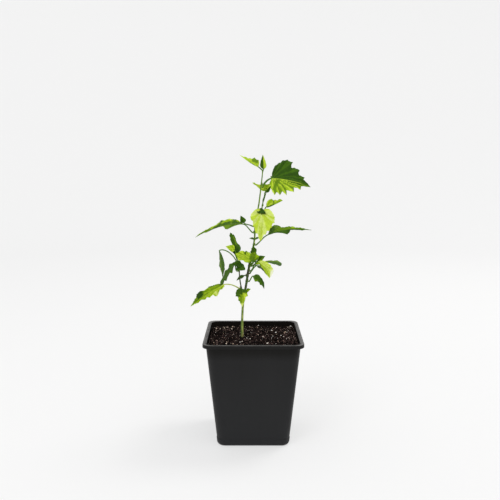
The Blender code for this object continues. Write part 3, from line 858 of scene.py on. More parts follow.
def leaf(stalk, blade, width, faces, arch=0.0, fold=(15, 15), pleat=0.0, sway=0.0, launch=35,
         tones=("dark", "dark"), bands=("", ""), margin=(), stalkTone="dark", wave=0.0, patches=()):
    # stalk and blade are (length, heading, lift), width is the half width on the two sides, and faces is
    # where the upper side looks, as (heading, lift). fold is how far each side is folded up, in degrees.
    # tones are the two sides' colours, with each side's light and shade painted in, and bands paint the
    # pleats' shade and light along one flank of each side vein. margin is the outline of each side as (share
    # of the length, millimetres out). wave ripples the edges. A patch paints light and shade onto part of a
    # side and is (side, from, to, out from, out to, tone) in shares of the length and of the way out.
    return dict(
        stalk=stalk, blade=blade, width=width, faces=faces, arch=arch, fold=fold, pleat=pleat, sway=sway,
        launch=launch, tones=tones, bands=bands, margin=margin, stalkTone=stalkTone, wave=wave,
        patches=patches)


# Half a blade laid flat, from foot to tip, in shares of the length and of the half width
margins = {
    "lobed": (
        (0.00, 0.03), (0.02, 0.28), (0.05, 0.56), (0.12, 0.85), (0.18, 0.87), (0.215, 0.93), (0.26, 0.93),
        (0.36, 1.00), (0.405, 0.80), (0.46, 0.80), (0.565, 0.72), (0.61, 0.52), (0.66, 0.51), (0.765, 0.44),
        (0.81, 0.26), (0.86, 0.22), (0.90, 0.20), (0.93, 0.10), (1.00, 0.00),
    ),
    "plain": (
        (0.00, 0.05), (0.05, 0.42), (0.14, 0.82), (0.24, 0.97), (0.36, 1.00), (0.42, 0.86), (0.52, 0.80),
        (0.62, 0.68), (0.68, 0.52), (0.80, 0.38), (0.86, 0.22), (1.00, 0.00),
    ),
}
bladeGrid = {
    # longest blade that it serves: rows, columns on each side
    0.0185: (44, 6),
    0.0300: (80, 9),
    0.1000: (130, 14),
}
teeth = dict(
    size=0.012,  # the small teeth between the large ones, as a share of the blade's length
    count=17,
    fade=8,  # the higher it is, the nearer to the foot and the tip they go
    waves=19,  # the edge's slow ripple, in radians from foot to tip
)
ribs = dict(
    midrib=0.00030,  # radius at the blade's foot on a leaf 30 mm long
    side=0.00018,
    reference=0.030,
    midribTaper=0.85,  # how much of its radius it has lost at the tip
    sideTaper=0.7,
    points=22,
    gap=0.05,  # least share of the margin between two side veins
    sweep=0.5,  # how far the side veins lean forward
    pleatFade=6,
    smallest=0.35,  # the least and the most that a leaf's size changes its veins' thickness
    largest=1.4,
)

masses = {
    "tip_leaves": dict(
        limb="main_stem",
        leaves=(
            leaf((0.0030, -10, 70), (0.0136, -109, 78), (0.0030, 0.0030), (-100, 10), fold=(25, 25),
                 tones=("dark", "light")),
            leaf((0.0065, -161, 50), (0.0212, -158, 30), (0.0040, 0.0052), (-60, 50), fold=(25, 25),
                 sway=0.0012, tones=("light", "light"), bands=("fresh", "fresh"),
                 patches=((1, 0.22, 0.50, 0.0, 1.0, "mid"), (-1, 0.10, 0.40, 0.5, 1.0, "mid")),
                 margin=((), ((0.00, 0.5), (0.03, 4.2), (0.10, 6.3), (0.20, 5.6), (0.33, 6.4), (0.42, 3.8),
                              (0.52, 3.6), (0.60, 2.2), (0.71, 2.2), (0.80, 1.0), (1.00, 0.0)))),
        ),
    ),
    "top_right_leaf": dict(
        limb="main_stem", height=0.2400,
        leaves=(
            leaf((0.0128, -32, 29), (0.0386, -25, -12), (0.0202, 0.0176), (-80, 22), 0.001, (6, 6),
                 pleat=0.0008, sway=0.0014, launch=62, tones=("deep", "light"), bands=("dark", "pleated"),
                 patches=((-1, 0.14, 0.24, 0.10, 0.80, "mid"), (-1, 0.78, 1.10, 0.0, 1.0, "mid")),
                 margin=(((0.00, 0.3), (-0.04, 5.0), (-0.04, 12.5), (0.03, 16.5), (0.07, 16.4), (0.12, 18.2),
                          (0.16, 18.6), (0.21, 20.2), (0.27, 18.4), (0.38, 17.3), (0.36, 15.0), (0.38, 12.5),
                          (0.44, 13.2), (0.52, 12.5), (0.62, 11.2), (0.60, 9.0), (0.64, 7.0), (0.70, 7.2),
                          (0.78, 6.4), (0.78, 3.9), (0.88, 2.6), (1.00, 0.0)),
                         ((0.00, 0.3), (0.01, 3.6), (0.01, 6.4), (0.07, 9.0), (0.12, 12.4), (0.20, 15.6),
                          (0.26, 17.8), (0.30, 15.2), (0.34, 15.6), (0.39, 17.2), (0.42, 13.6), (0.46, 14.0),
                          (0.55, 15.8), (0.50, 11.4), (0.58, 11.2), (0.63, 10.4), (0.68, 10.6), (0.64, 6.6),
                          (0.72, 5.8), (0.80, 5.8), (0.78, 2.8), (0.89, 1.4), (1.00, 0.0)))),
        ),
    ),
    "upper_left_leaf": dict(
        limb="upper_shoot",
        leaves=(
            leaf((0.0032, 30, 72), (0.0160, 152, 29), (0.0045, 0.0062), (-95, 45),
                 tones=("light", "light"), bands=("fresh", "fresh"),
                 margin=(((0.00, 0.5), (0.12, 2.0), (0.30, 2.4), (0.42, 1.4), (0.55, 1.3), (0.70, 0.5),
                          (0.85, 0.9), (1.00, 0.0)),
                         ((0.00, 2.0), (-0.02, 6.0), (0.05, 8.6), (0.20, 6.0), (0.39, 4.6), (0.50, 2.6),
                          (0.62, 1.6), (0.80, 0.7), (0.88, 1.2), (1.00, 0.0)))),
            leaf((0.0026, 60, 40), (0.0085, 20, 50), (0.0020, 0.0020), (-60, 30), fold=(30, 30)),
        ),
    ),
    "narrow_leaf": dict(
        limb="upper_shoot", height=0.2205,
        leaves=(leaf((0.0034, -80, 50), (0.0105, -43, 66), (0.0016, 0.0016), (-150, 20)),),
    ),
    "upper_right_leaf": dict(
        limb="upper_shoot", height=0.2160,
        leaves=(leaf((0.0060, -24, 33), (0.0190, -34, 20), (0.0052, 0.0040), (-100, 35), fold=(12, 12),
                     tones=("light", "fresh"), bands=("fresh", ""),
                     patches=((-1, -0.1, 0.50, 0.3, 1.0, "dark"), (1, 0.44, 0.52, 0.0, 1.0, "mid")),
                     margin=(((0.00, 0.4), (0.03, 3.3), (0.12, 5.2), (0.24, 5.9), (0.38, 5.6), (0.46, 3.6),
                              (0.60, 3.4), (0.68, 2.0), (0.80, 2.6), (0.90, 2.0), (1.00, 0.0)),
                             ((0.00, 0.4), (0.12, 1.5), (0.30, 1.7), (0.50, 1.2), (0.75, 0.8),
                              (1.00, 0.0)))),),
    ),
    "centre_leaf": dict(
        limb="main_stem", height=0.2085,
        leaves=(
            leaf((0.0130, -64, 34), (0.0278, -99, -76), (0.0126, 0.0122), (-88, 12), 0.002, (6, 6),
                 pleat=0.0007, launch=55, tones=("pale", "pale"), bands=("light", "light"),
                 patches=((1, -0.20, 0.10, 0.0, 0.30, "deep"), (-1, -0.20, 0.08, 0.0, 0.30, "deep")),
                 margin=(((-0.02, 0.3), (-0.09, 3.6), (-0.09, 6.6), (-0.03, 8.8), (0.04, 10.4), (0.10, 11.4),
                          (0.20, 12.6), (0.28, 12.2), (0.38, 12.4), (0.40, 10.6), (0.45, 10.2), (0.50, 10.0),
                          (0.54, 9.8), (0.58, 8.4), (0.66, 8.0), (0.66, 5.6), (0.79, 4.8), (0.78, 3.0),
                          (0.90, 2.0), (1.00, 0.0)),
                         ((-0.02, 0.3), (-0.09, 2.2), (-0.06, 5.0), (-0.01, 6.6), (0.05, 8.0), (0.11, 9.2),
                          (0.22, 10.0), (0.33, 9.0), (0.35, 7.6), (0.42, 7.2), (0.50, 7.4), (0.54, 6.2),
                          (0.62, 5.6), (0.76, 4.2), (0.76, 2.6), (0.88, 1.8), (1.00, 0.0)))),
            leaf((0.0116, -78, 48), (0.0095, -40, -16), (0.0030, 0.0038), (-90, 45), tones=("deep", "deep")),
        ),
    ),
    "left_long_leaf": dict(
        limb="main_stem", height=0.1950,
        leaves=(
            leaf((0.0142, 155, 33), (0.0514, 162, -16), (0.0110, 0.0120), (-85, 74), 0.0042, (-12, 8),
                 pleat=0.0006, tones=("dark", "fresh"), bands=("mid", "light"),
                 margin=(((0.00, 0.4), (0.09, 0.8), (0.18, 1.8), (0.24, 3.9), (0.28, 7.0), (0.32, 6.6),
                          (0.37, 2.0), (0.46, 1.2), (0.61, 1.4), (0.73, 1.7), (0.88, 0.8), (1.00, 0.0)),
                         ((0.00, 0.4), (0.06, 3.1), (0.13, 7.3), (0.22, 10.9), (0.27, 12.8), (0.32, 12.4),
                          (0.35, 10.8), (0.42, 12.6), (0.46, 11.4), (0.52, 12.0), (0.51, 8.3), (0.54, 5.2),
                          (0.61, 7.2), (0.61, 4.6), (0.66, 3.0), (0.73, 4.6), (0.75, 1.8), (0.84, 3.2),
                          (0.95, 1.6), (1.00, 0.0))),
                 patches=((-1, -0.1, 0.24, 0.0, 0.40, "dark"), (-1, 0.16, 0.24, 0.5, 1.0, "dark"),
                          (-1, 0.44, 0.50, 0.5, 1.0, "dark"),
                          (-1, 0.24, 0.60, 0.0, 0.50, "dark"), (-1, 0.66, 1.10, 0.0, 0.60, "mid"),
                          (1, -0.1, 0.16, 0.0, 1.0, "mid"))),
        ),
    ),
    "left_small_leaf": dict(
        limb="main_stem", height=0.2010,
        leaves=(leaf((0.0107, -174, 18), (0.0078, 170, 64), (0.0032, 0.0028), (-80, 30),
                     tones=("deep", "dark")),),
    ),
    "right_long_leaf": dict(
        limb="main_stem", height=0.1838,
        leaves=(
            leaf((0.0185, -33, 33), (0.0420, -21, 8), (0.0120, 0.0110), (-100, 74), 0.0028, (18, -14),
                 pleat=0.0006, tones=("mid", "dark"), bands=("", ""),
                 margin=(((0.00, 0.4), (0.01, 3.8), (0.03, 11.5), (0.10, 12.8), (0.18, 10.0), (0.25, 7.1),
                          (0.31, 4.7), (0.38, 5.0), (0.44, 5.3), (0.53, 3.2), (0.57, 5.2), (0.65, 2.2),
                          (0.73, 1.3), (0.84, 0.8), (1.00, 0.0)),
                         ((0.00, 0.4), (0.10, 0.8), (0.27, 0.8), (0.36, 2.0), (0.44, 4.4), (0.50, 6.2),
                          (0.54, 3.4), (0.55, 0.9), (0.69, 0.8), (0.82, 0.8), (1.00, 0.0))),
                 patches=((1, -0.2, 0.06, 0.0, 1.0, "deep"), (1, 0.06, 0.14, 0.0, 0.7, "dark"),
                          (1, 0.55, 0.62, 0.5, 1.0, "fresh"), (-1, 0.46, 0.60, 0.2, 1.0, "deep"))),
        ),
    ),
    "star_leaves": dict(
        limb="main_stem", height=0.1890,
        leaves=(
            leaf((0.0034, -95, 5), (0.0052, -160, 12), (0.0017, 0.0017), (-90, 60)),
            leaf((0.0036, -80, 5), (0.0052, -20, 22), (0.0017, 0.0017), (-90, 60)),
        ),
    ),
    "front_leaf": dict(
        limb="main_stem", height=0.1634,
        leaves=(
            leaf((0.0122, -70, 29), (0.0200, -154, 24), (0.0052, 0.0086), (-84, 14), fold=(5, 5),
                 pleat=0.0004,
                 tones=("fresh", "fresh"), bands=("light", "light"),
                 margin=(((0.00, 0.4), (0.08, 1.4), (0.24, 3.2), (0.40, 3.9), (0.50, 3.0), (0.63, 3.4),
                          (0.70, 4.8), (0.80, 4.0), (0.86, 2.4), (0.94, 1.2), (1.00, 0.0)),
                         ((0.00, 0.4), (0.06, 2.4), (0.21, 5.1), (0.38, 6.6), (0.43, 5.6), (0.52, 6.6),
                          (0.60, 5.0), (0.70, 5.2), (0.80, 4.4), (0.88, 2.0), (1.00, 0.0))),
                 patches=((-1, -0.1, 0.26, 0.0, 1.0, "mid"), (1, -0.1, 0.18, 0.0, 1.0, "mid"),
                          (-1, 0.50, 0.58, 0.55, 1.0, "dark"))),
        ),
    ),
    "front_dark_leaf": dict(
        limb="main_stem", height=0.1662,
        leaves=(leaf((0.0062, -50, 24), (0.0146, -98, 80), (0.0040, 0.0056), (-88, 5), fold=(8, 8),
                     tones=("mid", "mid"), bands=("fresh", "fresh"),
                     patches=((1, 0.55, 1.10, 0.0, 1.0, "dark"), (-1, 0.60, 1.10, 0.0, 1.0, "dark")),
                     margin=(((0.00, 0.4), (0.12, 2.6), (0.35, 3.2), (0.48, 2.6), (0.63, 3.3), (0.75, 2.0),
                              (0.85, 2.2), (1.00, 0.0)),
                             ((0.00, 0.4), (0.10, 4.4), (0.34, 5.4), (0.44, 3.0), (0.56, 2.4), (0.68, 2.8),
                              (0.79, 2.9), (0.90, 1.2), (1.00, 0.0)))),),
    ),
    "left_crown": dict(
        limb="left_shoot",
        leaves=(
            leaf((0.0100, 130, 58), (0.0235, 128, 68), (0.0040, 0.0044), (-100, 10), fold=(15, 15),
                 sway=-0.0022,
                 margin=(((0.00, 0.4), (0.13, 2.1), (0.24, 4.8), (0.28, 2.9), (0.37, 1.9), (0.44, 2.7),
                          (0.58, 3.1), (0.72, 3.4), (0.77, 2.6), (0.89, 2.4), (1.00, 0.0)),
                         ((0.00, 0.4), (0.11, 2.1), (0.17, 4.4), (0.27, 5.1), (0.39, 4.1), (0.49, 2.3),
                          (0.60, 1.6), (0.72, 2.1), (0.89, 2.0), (0.90, 1.0), (0.96, 0.9), (1.00, 0.0))),
                 patches=((-1, 0.45, 0.80, 0.0, 0.60, "mid"),
                          (1, -0.1, 0.30, 0.0, 1.0, "deep"), (-1, -0.1, 0.34, 0.0, 0.6, "deep"))),
            leaf((0.0156, 142, 68), (0.0094, -166, 24), (0.0036, 0.0040), (-90, 40),
                 tones=("light", "light"), bands=("fresh", "fresh")),
            leaf((0.0050, -55, 6), (0.0140, -140, 14), (0.0036, 0.0044), (-90, 35), tones=("deep", "dark")),
            leaf((0.0065, -51, 8), (0.0110, -134, -16), (0.0045, 0.0042), (-90, 20), tones=("dark", "deep")),
        ),
    ),
    "arching_leaf": dict(
        limb="left_shoot", height=0.1630,
        leaves=(
            leaf((0.0284, 142, 28), (0.0268, 10, -83), (0.0060, 0.0060), (178, 10), -0.0006, (-34, 26),
                 launch=86, tones=("dark", "mid"), bands=("", "dark"),
                 margin=(((0.00, 0.4), (0.10, 2.5), (0.30, 4.4), (0.50, 5.0), (0.62, 4.0), (0.66, 4.6),
                          (0.78, 2.4), (1.00, 0.0)),
                         ((0.00, 0.4), (0.20, 2.0), (0.34, 3.8), (0.38, 3.0), (0.50, 5.4), (0.60, 6.8),
                          (0.68, 4.0), (0.72, 4.2), (0.82, 1.8), (1.00, 0.0)))),
        ),
    ),
    "drooping_leaf": dict(
        limb="left_shoot", height=0.1590,
        leaves=(
            leaf((0.0076, 180, 52), (0.0286, 153, -57), (0.0060, 0.0060), (170, 35), 0.0014, (-24, 34),
                 pleat=0.0004, tones=("dark", "dark"), wave=0.0006,
                 margin=(((0.00, 2.0), (0.10, 5.0), (0.20, 6.4), (0.26, 4.4), (0.38, 6.0), (0.44, 4.0),
                          (0.56, 5.6), (0.62, 3.4), (0.76, 4.6), (0.82, 2.4), (0.94, 2.0), (1.00, 0.0)),
                         ((0.00, 2.0), (0.12, 4.6), (0.30, 5.4), (0.36, 4.0), (0.50, 5.0), (0.56, 3.6),
                          (0.72, 4.6), (0.78, 2.8), (0.90, 2.2), (1.00, 0.0)))),
        ),
    ),
    "right_small_leaf": dict(
        limb="main_stem", height=0.1680,
        leaves=(
            leaf((0.0068, -12, 2), (0.0098, -30, 32), (0.0038, 0.0042), (-90, 40), tones=("dark", "mid")),
            leaf((0.0060, -18, -12), (0.0070, -32, -2), (0.0024, 0.0030), (-90, 40), tones=("mid", "fresh")),
        ),
    ),
    "right_far_leaf": dict(
        limb="main_stem", height=0.1634,
        leaves=(leaf((0.0146, 21, 11), (0.0222, 34, -8), (0.0060, 0.0060), (-72, 70), 0.0010, (5, -10),
                     tones=("mid", "dark"),
                     margin=(((0.00, 0.4), (0.12, 1.4), (0.30, 2.0), (0.50, 2.6), (0.58, 1.8), (0.72, 3.4),
                              (0.88, 4.6), (0.97, 2.0), (1.00, 0.0)),
                             ((0.00, 0.4), (0.15, 0.8), (0.30, 1.4), (0.38, 3.0), (0.50, 4.2), (0.56, 3.4),
                              (0.68, 5.8), (0.80, 5.2), (0.90, 3.4), (1.00, 0.0)))),),
    ),
    "right_pale_leaf": dict(
        limb="main_stem", height=0.1589,
        leaves=(
            leaf((0.0146, -42, 39), (0.0200, -40, -43), (0.0092, 0.0042), (-105, 30), 0.001, (10, 10),
                 pleat=0.0004, sway=0.0028, tones=("pale", "light"), bands=("light", "fresh"),
                 margin=(((0.00, 0.4), (0.05, 3.0), (0.15, 4.0), (0.24, 4.3), (0.32, 4.8), (0.42, 4.7),
                          (0.54, 5.4), (0.64, 5.0), (0.75, 5.6), (0.85, 5.4), (0.92, 4.2), (0.97, 1.6),
                          (1.00, 0.0)),
                         ((0.00, 0.4), (0.08, 1.6), (0.25, 1.5), (0.36, 2.2), (0.47, 2.6), (0.60, 2.5),
                          (0.72, 2.9), (0.86, 1.6), (1.00, 0.0))),
                 patches=((1, 0.66, 1.0, 0.45, 1.0, "pale"), (1, 0.78, 1.0, 0.62, 1.0, "paintedHighlight"),
                          (-1, -0.1, 0.24, 0.0, 1.0, "fresh"))),
        ),
    ),
    "low_right_leaf": dict(
        limb="main_stem", height=0.1490,
        leaves=(leaf((0.0098, -40, 35), (0.0166, -35, -42), (0.0044, 0.0036), (-115, 25), sway=0.0020,
                     tones=("dark", "dark"),
                     patches=((-1, 0.0, 0.40, 0.70, 1.0, "mid"), (1, 0.40, 1.10, 0.4, 1.0, "deep")),
                     margin=(((0.00, 0.5), (0.04, 2.8), (0.14, 3.6), (0.24, 3.5), (0.38, 2.8), (0.46, 3.0),
                              (0.60, 2.4), (0.72, 2.4), (0.86, 1.3), (1.00, 0.0)),
                             ((0.00, 0.5), (0.08, 1.6), (0.20, 2.8), (0.34, 3.9), (0.42, 2.0), (0.54, 1.6),
                              (0.66, 2.2), (0.74, 1.0), (1.00, 0.0)))),),
    ),
    "thin_leaf": dict(
        limb="main_stem", height=0.1537,
        leaves=(leaf((0.0034, 149, 2), (0.0100, 157, -34), (0.0018, 0.0018), (-60, 40), 0.0014),),
    ),
    "low_front_leaf": dict(
        limb="main_stem", height=0.1366,
        leaves=(
            leaf((0.0092, -104, 40), (0.0164, -94, -78), (0.0060, 0.0064), (-90, 12), fold=(12, 12),
                 launch=60,
                 tones=("fresh", "fresh"), bands=("light", "mid"),
                 margin=(((0.00, 0.5), (-0.05, 2.6), (0.04, 3.8), (0.14, 4.4), (0.26, 4.6), (0.38, 5.2),
                          (0.44, 3.0), (0.52, 2.8), (0.62, 2.6), (0.72, 1.8), (0.82, 1.5), (0.90, 0.7),
                          (1.00, 0.0)),
                         ((0.00, 0.5), (-0.04, 3.6), (0.05, 5.6), (0.13, 5.8), (0.22, 6.5), (0.32, 6.0),
                          (0.40, 6.6), (0.43, 4.2), (0.54, 3.8), (0.63, 3.9), (0.70, 2.4), (0.80, 2.0),
                          (0.90, 1.0), (1.00, 0.0))),
                 patches=((-1, -0.2, 0.30, 0.0, 1.0, "dark"), (-1, 0.28, 0.44, 0.55, 1.0, "dark"),
                          (1, -0.2, 0.20, 0.0, 1.0, "dark"), (1, 0.80, 1.1, 0.0, 1.0, "pale"),
                          (-1, 0.80, 1.1, 0.0, 1.0, "pale"))),
            leaf((0.0052, -56, 45), (0.0050, -29, 26), (0.0019, 0.0019), (-90, 40), tones=("mid", "fresh")),
        ),
    ),
    "low_left_leaf": dict(
        limb="left_shoot", height=0.1425,
        leaves=(
            leaf((0.0189, -152, 15), (0.0373, -158, -29), (0.0080, 0.0064), (-76, 46), 0.002, (4, 4),
                 pleat=0.0007, tones=("light", "fresh"), bands=("fresh", "mid"), stalkTone="yellow",
                 margin=(((0.00, 0.5), (0.03, 2.4), (0.12, 3.2), (0.18, 2.6), (0.25, 4.8), (0.31, 6.8),
                          (0.37, 6.4), (0.39, 3.8), (0.50, 3.9), (0.55, 2.6), (0.62, 3.0), (0.70, 1.4),
                          (0.80, 1.6), (0.90, 0.8), (1.00, 0.0)),
                         ((0.00, 0.5), (0.05, 2.0), (0.11, 3.0), (0.22, 4.8), (0.28, 4.2), (0.34, 6.0),
                          (0.41, 4.6), (0.50, 5.2), (0.54, 5.0), (0.60, 7.0), (0.71, 5.8), (0.76, 3.4),
                          (0.82, 2.8), (0.90, 1.4), (1.00, 0.0))),
                 patches=((-1, 0.56, 0.76, 0.40, 1.0, "deep"), (-1, -0.1, 0.10, 0.0, 1.0, "dark"),
                          (1, 0.62, 1.10, 0.0, 1.0, "fresh"), (-1, 0.78, 1.10, 0.0, 1.0, "mid"),
                          (1, 0.26, 0.34, 0.55, 1.0, "pale"))),
        ),
    ),
    "back_low_leaf": dict(
        limb="main_stem", height=0.1345,
        leaves=(leaf((0.0100, 95, 20), (0.0200, 98, -42), (0.0060, 0.0060), (100, 48), 0.002, (10, 10),
                     tones=("fresh", "mid"), bands=("mid", "")),),
    ),
    "back_left_leaf": dict(
        limb="main_stem", height=0.1655,
        leaves=(leaf((0.0120, 95, 12), (0.0270, 96, -14), (0.0085, 0.0085), (96, 74), 0.003, (10, 10),
                     pleat=0.0005, tones=("mid", "dark")),),
    ),
    "back_right_leaf": dict(
        limb="main_stem", height=0.1560,
        leaves=(leaf((0.0150, 50, 24), (0.0210, 55, -34), (0.0075, 0.0075), (55, 56), 0.002, (10, 10),
                     pleat=0.0005, tones=("dark", "mid")),),
    ),
    "back_centre_leaf": dict(
        limb="main_stem", height=0.2010,
        leaves=(leaf((0.0130, 62, 24), (0.0260, 78, -14), (0.0090, 0.0090), (80, 72), 0.003, (10, 10),
                     pleat=0.0005, tones=("mid", "fresh")),),
    ),
    "back_top_leaf": dict(
        limb="main_stem", height=0.2375,
        leaves=(leaf((0.0170, 42, 30), (0.0250, 36, -14), (0.0085, 0.0085), (45, 72), 0.003, (10, 10),
                     launch=60, pleat=0.0005, tones=("mid", "mid"), bands=("dark", "fresh")),),
    ),
}

lightMasses = (
    "tip_leaves", "upper_left_leaf", "upper_right_leaf", "centre_leaf", "front_leaf", "right_pale_leaf",
    "low_front_leaf", "low_left_leaf",
)
# the leaves' greens with light and shade painted in, from the darkest painted shade to the lightest painted
# light
toneColours = dict(
    deep=(0.026, 0.074, 0.003),
    dark=(0.044, 0.112, 0.004),
    mid=(0.120, 0.225, 0.006),
    fresh=(0.280, 0.440, 0.006),
    light=(0.480, 0.630, 0.040),
    pale=(0.640, 0.760, 0.170),
    # a painted highlight
    paintedHighlight=(0.820, 0.850, 0.600),
)
bandRows = {
    # painted pleat shading: each row is (to, tone), in shares of the way from one side vein to the next
    "": (),
    "dark": ((0.45, "dark"),),
    "mid": ((0.45, "mid"),),
    "fresh": ((0.45, "fresh"),),
    "light": ((0.50, "light"),),
    "pleated": ((0.16, "dark"), (0.46, "mid"), (0.70, "fresh")),
}
shading = dict(
    bandSoftness=0.16,
    patchSoftness=0.07,
    edgeLift=0.12,  # how much lighter the margin is than the middle
    spread=0.07,  # how far leaves differ from each other
    cloudScale=260.0,
    netScale=13.0,  # cells of fine veins to one flat coordinate
    netWidth=0.12,
)
ribColours = dict(
    dark=(0.105, 0.200, 0.020),
    mid=(0.330, 0.470, 0.030),
    light=(0.760, 0.860, 0.290),
)
# each side's veins take their colour from that side's tone, so they follow its painted light and shade
ribTones = dict(deep="dark", dark="dark", mid="dark", fresh="mid", light="light", pale="light")
ribSlots = dict(dark="leaf_dark", mid="leaf_light", light="leaf_light")
stalkColours = dict(
    dark=(0.080, 0.180, 0.020),
    yellow=(0.480, 0.560, 0.120),
)
twigColours = dict(
    pore=(0.42, 0.34, 0.16),
    foot=(0.110, 0.210, 0.030),
    bud=(0.160, 0.150, 0.040),
)
toneOrder = list(toneColours)  # from dark to light


def ofSide(pair, sign):
    # sign is 1 on the right of a leaf seen from above with its tip down, and that side's value comes first
    return pair[0] if sign > 0 else pair[1]


def bladeFrame(spec):
    along = toward(*spec["blade"][1:])
    up = across(toward(*spec["faces"]), along)
    return along, up, np.cross(up, along)


def midribAt(spec, base, share):
    # share may be an array
    along, up, side = bladeFrame(spec)
    share = np.asarray(share, float)[..., None]
    bow = 4 * share * (1 - share) * (up * spec["arch"] + side * spec["sway"])
    return base + along * spec["blade"][0] * share + bow


def marginOf(spec, sign):
    # one side's outline as rows of (share of the length, metres out)
    own = ofSide(spec["margin"], sign) if spec["margin"] else ()
    if own:
        return np.array(own) * (1, 0.001)
    name = "plain" if spec["blade"][0] < leafSizes["smallBlade"] else "lobed"
    return np.array(margins[name]) * (1, ofSide(spec["width"], sign))


def walkOf(spec, outline):
    # how far round the margin each row of the outline is, as a share
    steps = np.linalg.norm(np.diff(outline * (spec["blade"][0], 1), axis=0), axis=1)
    walked = np.concatenate(([0], np.cumsum(steps)))
    return walked / walked[-1]


def veinMarks(spec, sign):
    # side veins end at the points of the teeth
    outline = marginOf(spec, sign)
    walked, out = walkOf(spec, outline), outline[:, 1]
    peaks = [walked[i] for i in range(2, len(out) - 1) if out[i] >= out[i - 1] and out[i] > out[i + 1]]
    marks = []
    for peak in peaks:
        if not marks or peak - marks[-1] > ribs["gap"]:
            marks.append(peak)
    return np.array(marks) if marks else np.array((0.4,))


def leaned(j):
    # side veins leave the midrib nearer to its foot than where they end
    return 1 - ribs["sweep"] * (1 - j) ** 2


def veinOrder(spec, sign, q, j):
    # a whole number on each side vein, and between them in between
    marks = np.concatenate(([0], veinMarks(spec, sign), [1]))
    return np.interp(q / leaned(j), marks, np.arange(len(marks)))


def awayFromEnds(q, rate):
    # 0 at a blade's foot and tip, and 1 between them
    return np.clip(rate * q, 0, 1) * np.clip(rate * (1 - q), 0, 1)


def flatPlace(spec, q, j, sign):
    # share of the length and metres out, on the blade laid flat
    outline = marginOf(spec, sign)
    walked = walkOf(spec, outline)
    end, out = np.interp(q, walked, outline[:, 0]), np.interp(q, walked, outline[:, 1])
    tooth = teeth["size"] * spec["blade"][0] * (np.abs((q * teeth["count"]) % 1 * 2 - 1) - 0.5)
    out = out + tooth * awayFromEnds(q, teeth["fade"])
    start = q**2
    return start + (end - start) * j, out * j


def bladePoint(spec, base, q, j, sign):
    # q is the share of the way round the margin and j the share out to it, both arrays; sign says which side
    _, up, side = bladeFrame(spec)
    share, width = flatPlace(spec, q, j, sign)
    rise = width * math.tan(math.radians(ofSide(spec["fold"], sign)))
    pleat = spec["pleat"] * j * awayFromEnds(q, ribs["pleatFade"])
    rise = rise - pleat * np.cos(2 * math.pi * veinOrder(spec, sign, q, j))
    rise = rise + spec["wave"] * j**2 * np.sin(q * teeth["waves"] + sign)
    place = midribAt(spec, base, share)
    return place + side * (sign * width)[..., None] + up * rise[..., None]


def eased(value, edge, softness):
    # 0 below the edge and 1 above it, with a soft step between
    t = np.clip((value - edge) / softness + 0.5, 0, 1)
    return t * t * (3 - 2 * t)


def between(value, low, high, softness):
    return eased(value, low, softness) * (1 - eased(value, high, softness))


def tinted(colour, tone, weight):
    return colour + (toneColours[tone] - colour) * weight[..., None]


def shadeAt(spec, q, j, sign):
    # one half's colours with light and shade painted in: its own tone, then the bands of painted pleat
    # shading along its side veins, then its painted patches
    colour = np.ones(q.shape + (1,)) * toneColours[ofSide(spec["tones"], sign)]
    order = veinOrder(spec, sign, q, j) % 1
    start = -1.0
    for end, tone in bandRows[ofSide(spec["bands"], sign)]:
        weight = between(order, start, end, shading["bandSoftness"]) * np.clip(8 * j, 0, 1)
        colour = tinted(colour, tone, weight)
        start = end
    share, _ = flatPlace(spec, q, j, sign)
    soft = shading["patchSoftness"]
    for side, low, high, near, outer, tone in spec["patches"]:
        if side == sign:
            weight = between(share, low, high, soft) * between(j, near - soft, outer + soft, soft)
            colour = tinted(colour, tone, weight)
    # each leaf is a little lighter or darker than the next
    own = math.sin(1000 * spec["blade"][0] + spec["blade"][1])
    return colour * (1 + shading["edgeLift"] * (j - 0.5) + shading["spread"] * own)[..., None]


def makeBlade(spec, base):
    # an open sheet of points, its faces, the colour of each corner with its painted light and shade, and its
    # flat coordinates
    rows, columns = next(grid for longest, grid in bladeGrid.items() if spec["blade"][0] < longest)
    q = np.linspace(0, 1, rows + 1)[:, None] * np.ones((1, columns + 1))
    j = np.linspace(0, 1, columns + 1)[None, :] * np.ones((rows + 1, 1))
    left = bladePoint(spec, base, q, j, -1)[:, :0:-1]
    right = bladePoint(spec, base, q, j, 1)
    points = np.concatenate((left, right), axis=1).reshape(-1, 3)
    leftShade, rightShade = shadeAt(spec, q, j, -1)[:, ::-1], shadeAt(spec, q, j, 1)
    wide = 2 * columns + 1
    faces, colours = [], []
    for i in range(rows):
        for k in range(wide - 1):
            faces.append((i * wide + k, (i + 1) * wide + k, (i + 1) * wide + k + 1, i * wide + k + 1))
            shade, m = (leftShade, k) if k < columns else (rightShade, k - columns)
            colours += [shade[i, m], shade[i + 1, m], shade[i + 1, m + 1], shade[i, m + 1]]
    long, broad = spec["blade"][0] * leafSizes["netAlong"], np.mean(spec["width"]) * leafSizes["netAcross"]
    flatX = np.linspace(0, 1, rows + 1)[:, None] * np.ones((1, wide)) * long
    flatY = np.linspace(-1, 1, wide)[None, :] * np.ones((rows + 1, 1)) * broad
    return points, faces, np.array(colours), np.stack((flatX, flatY), axis=-1).reshape(-1, 2)


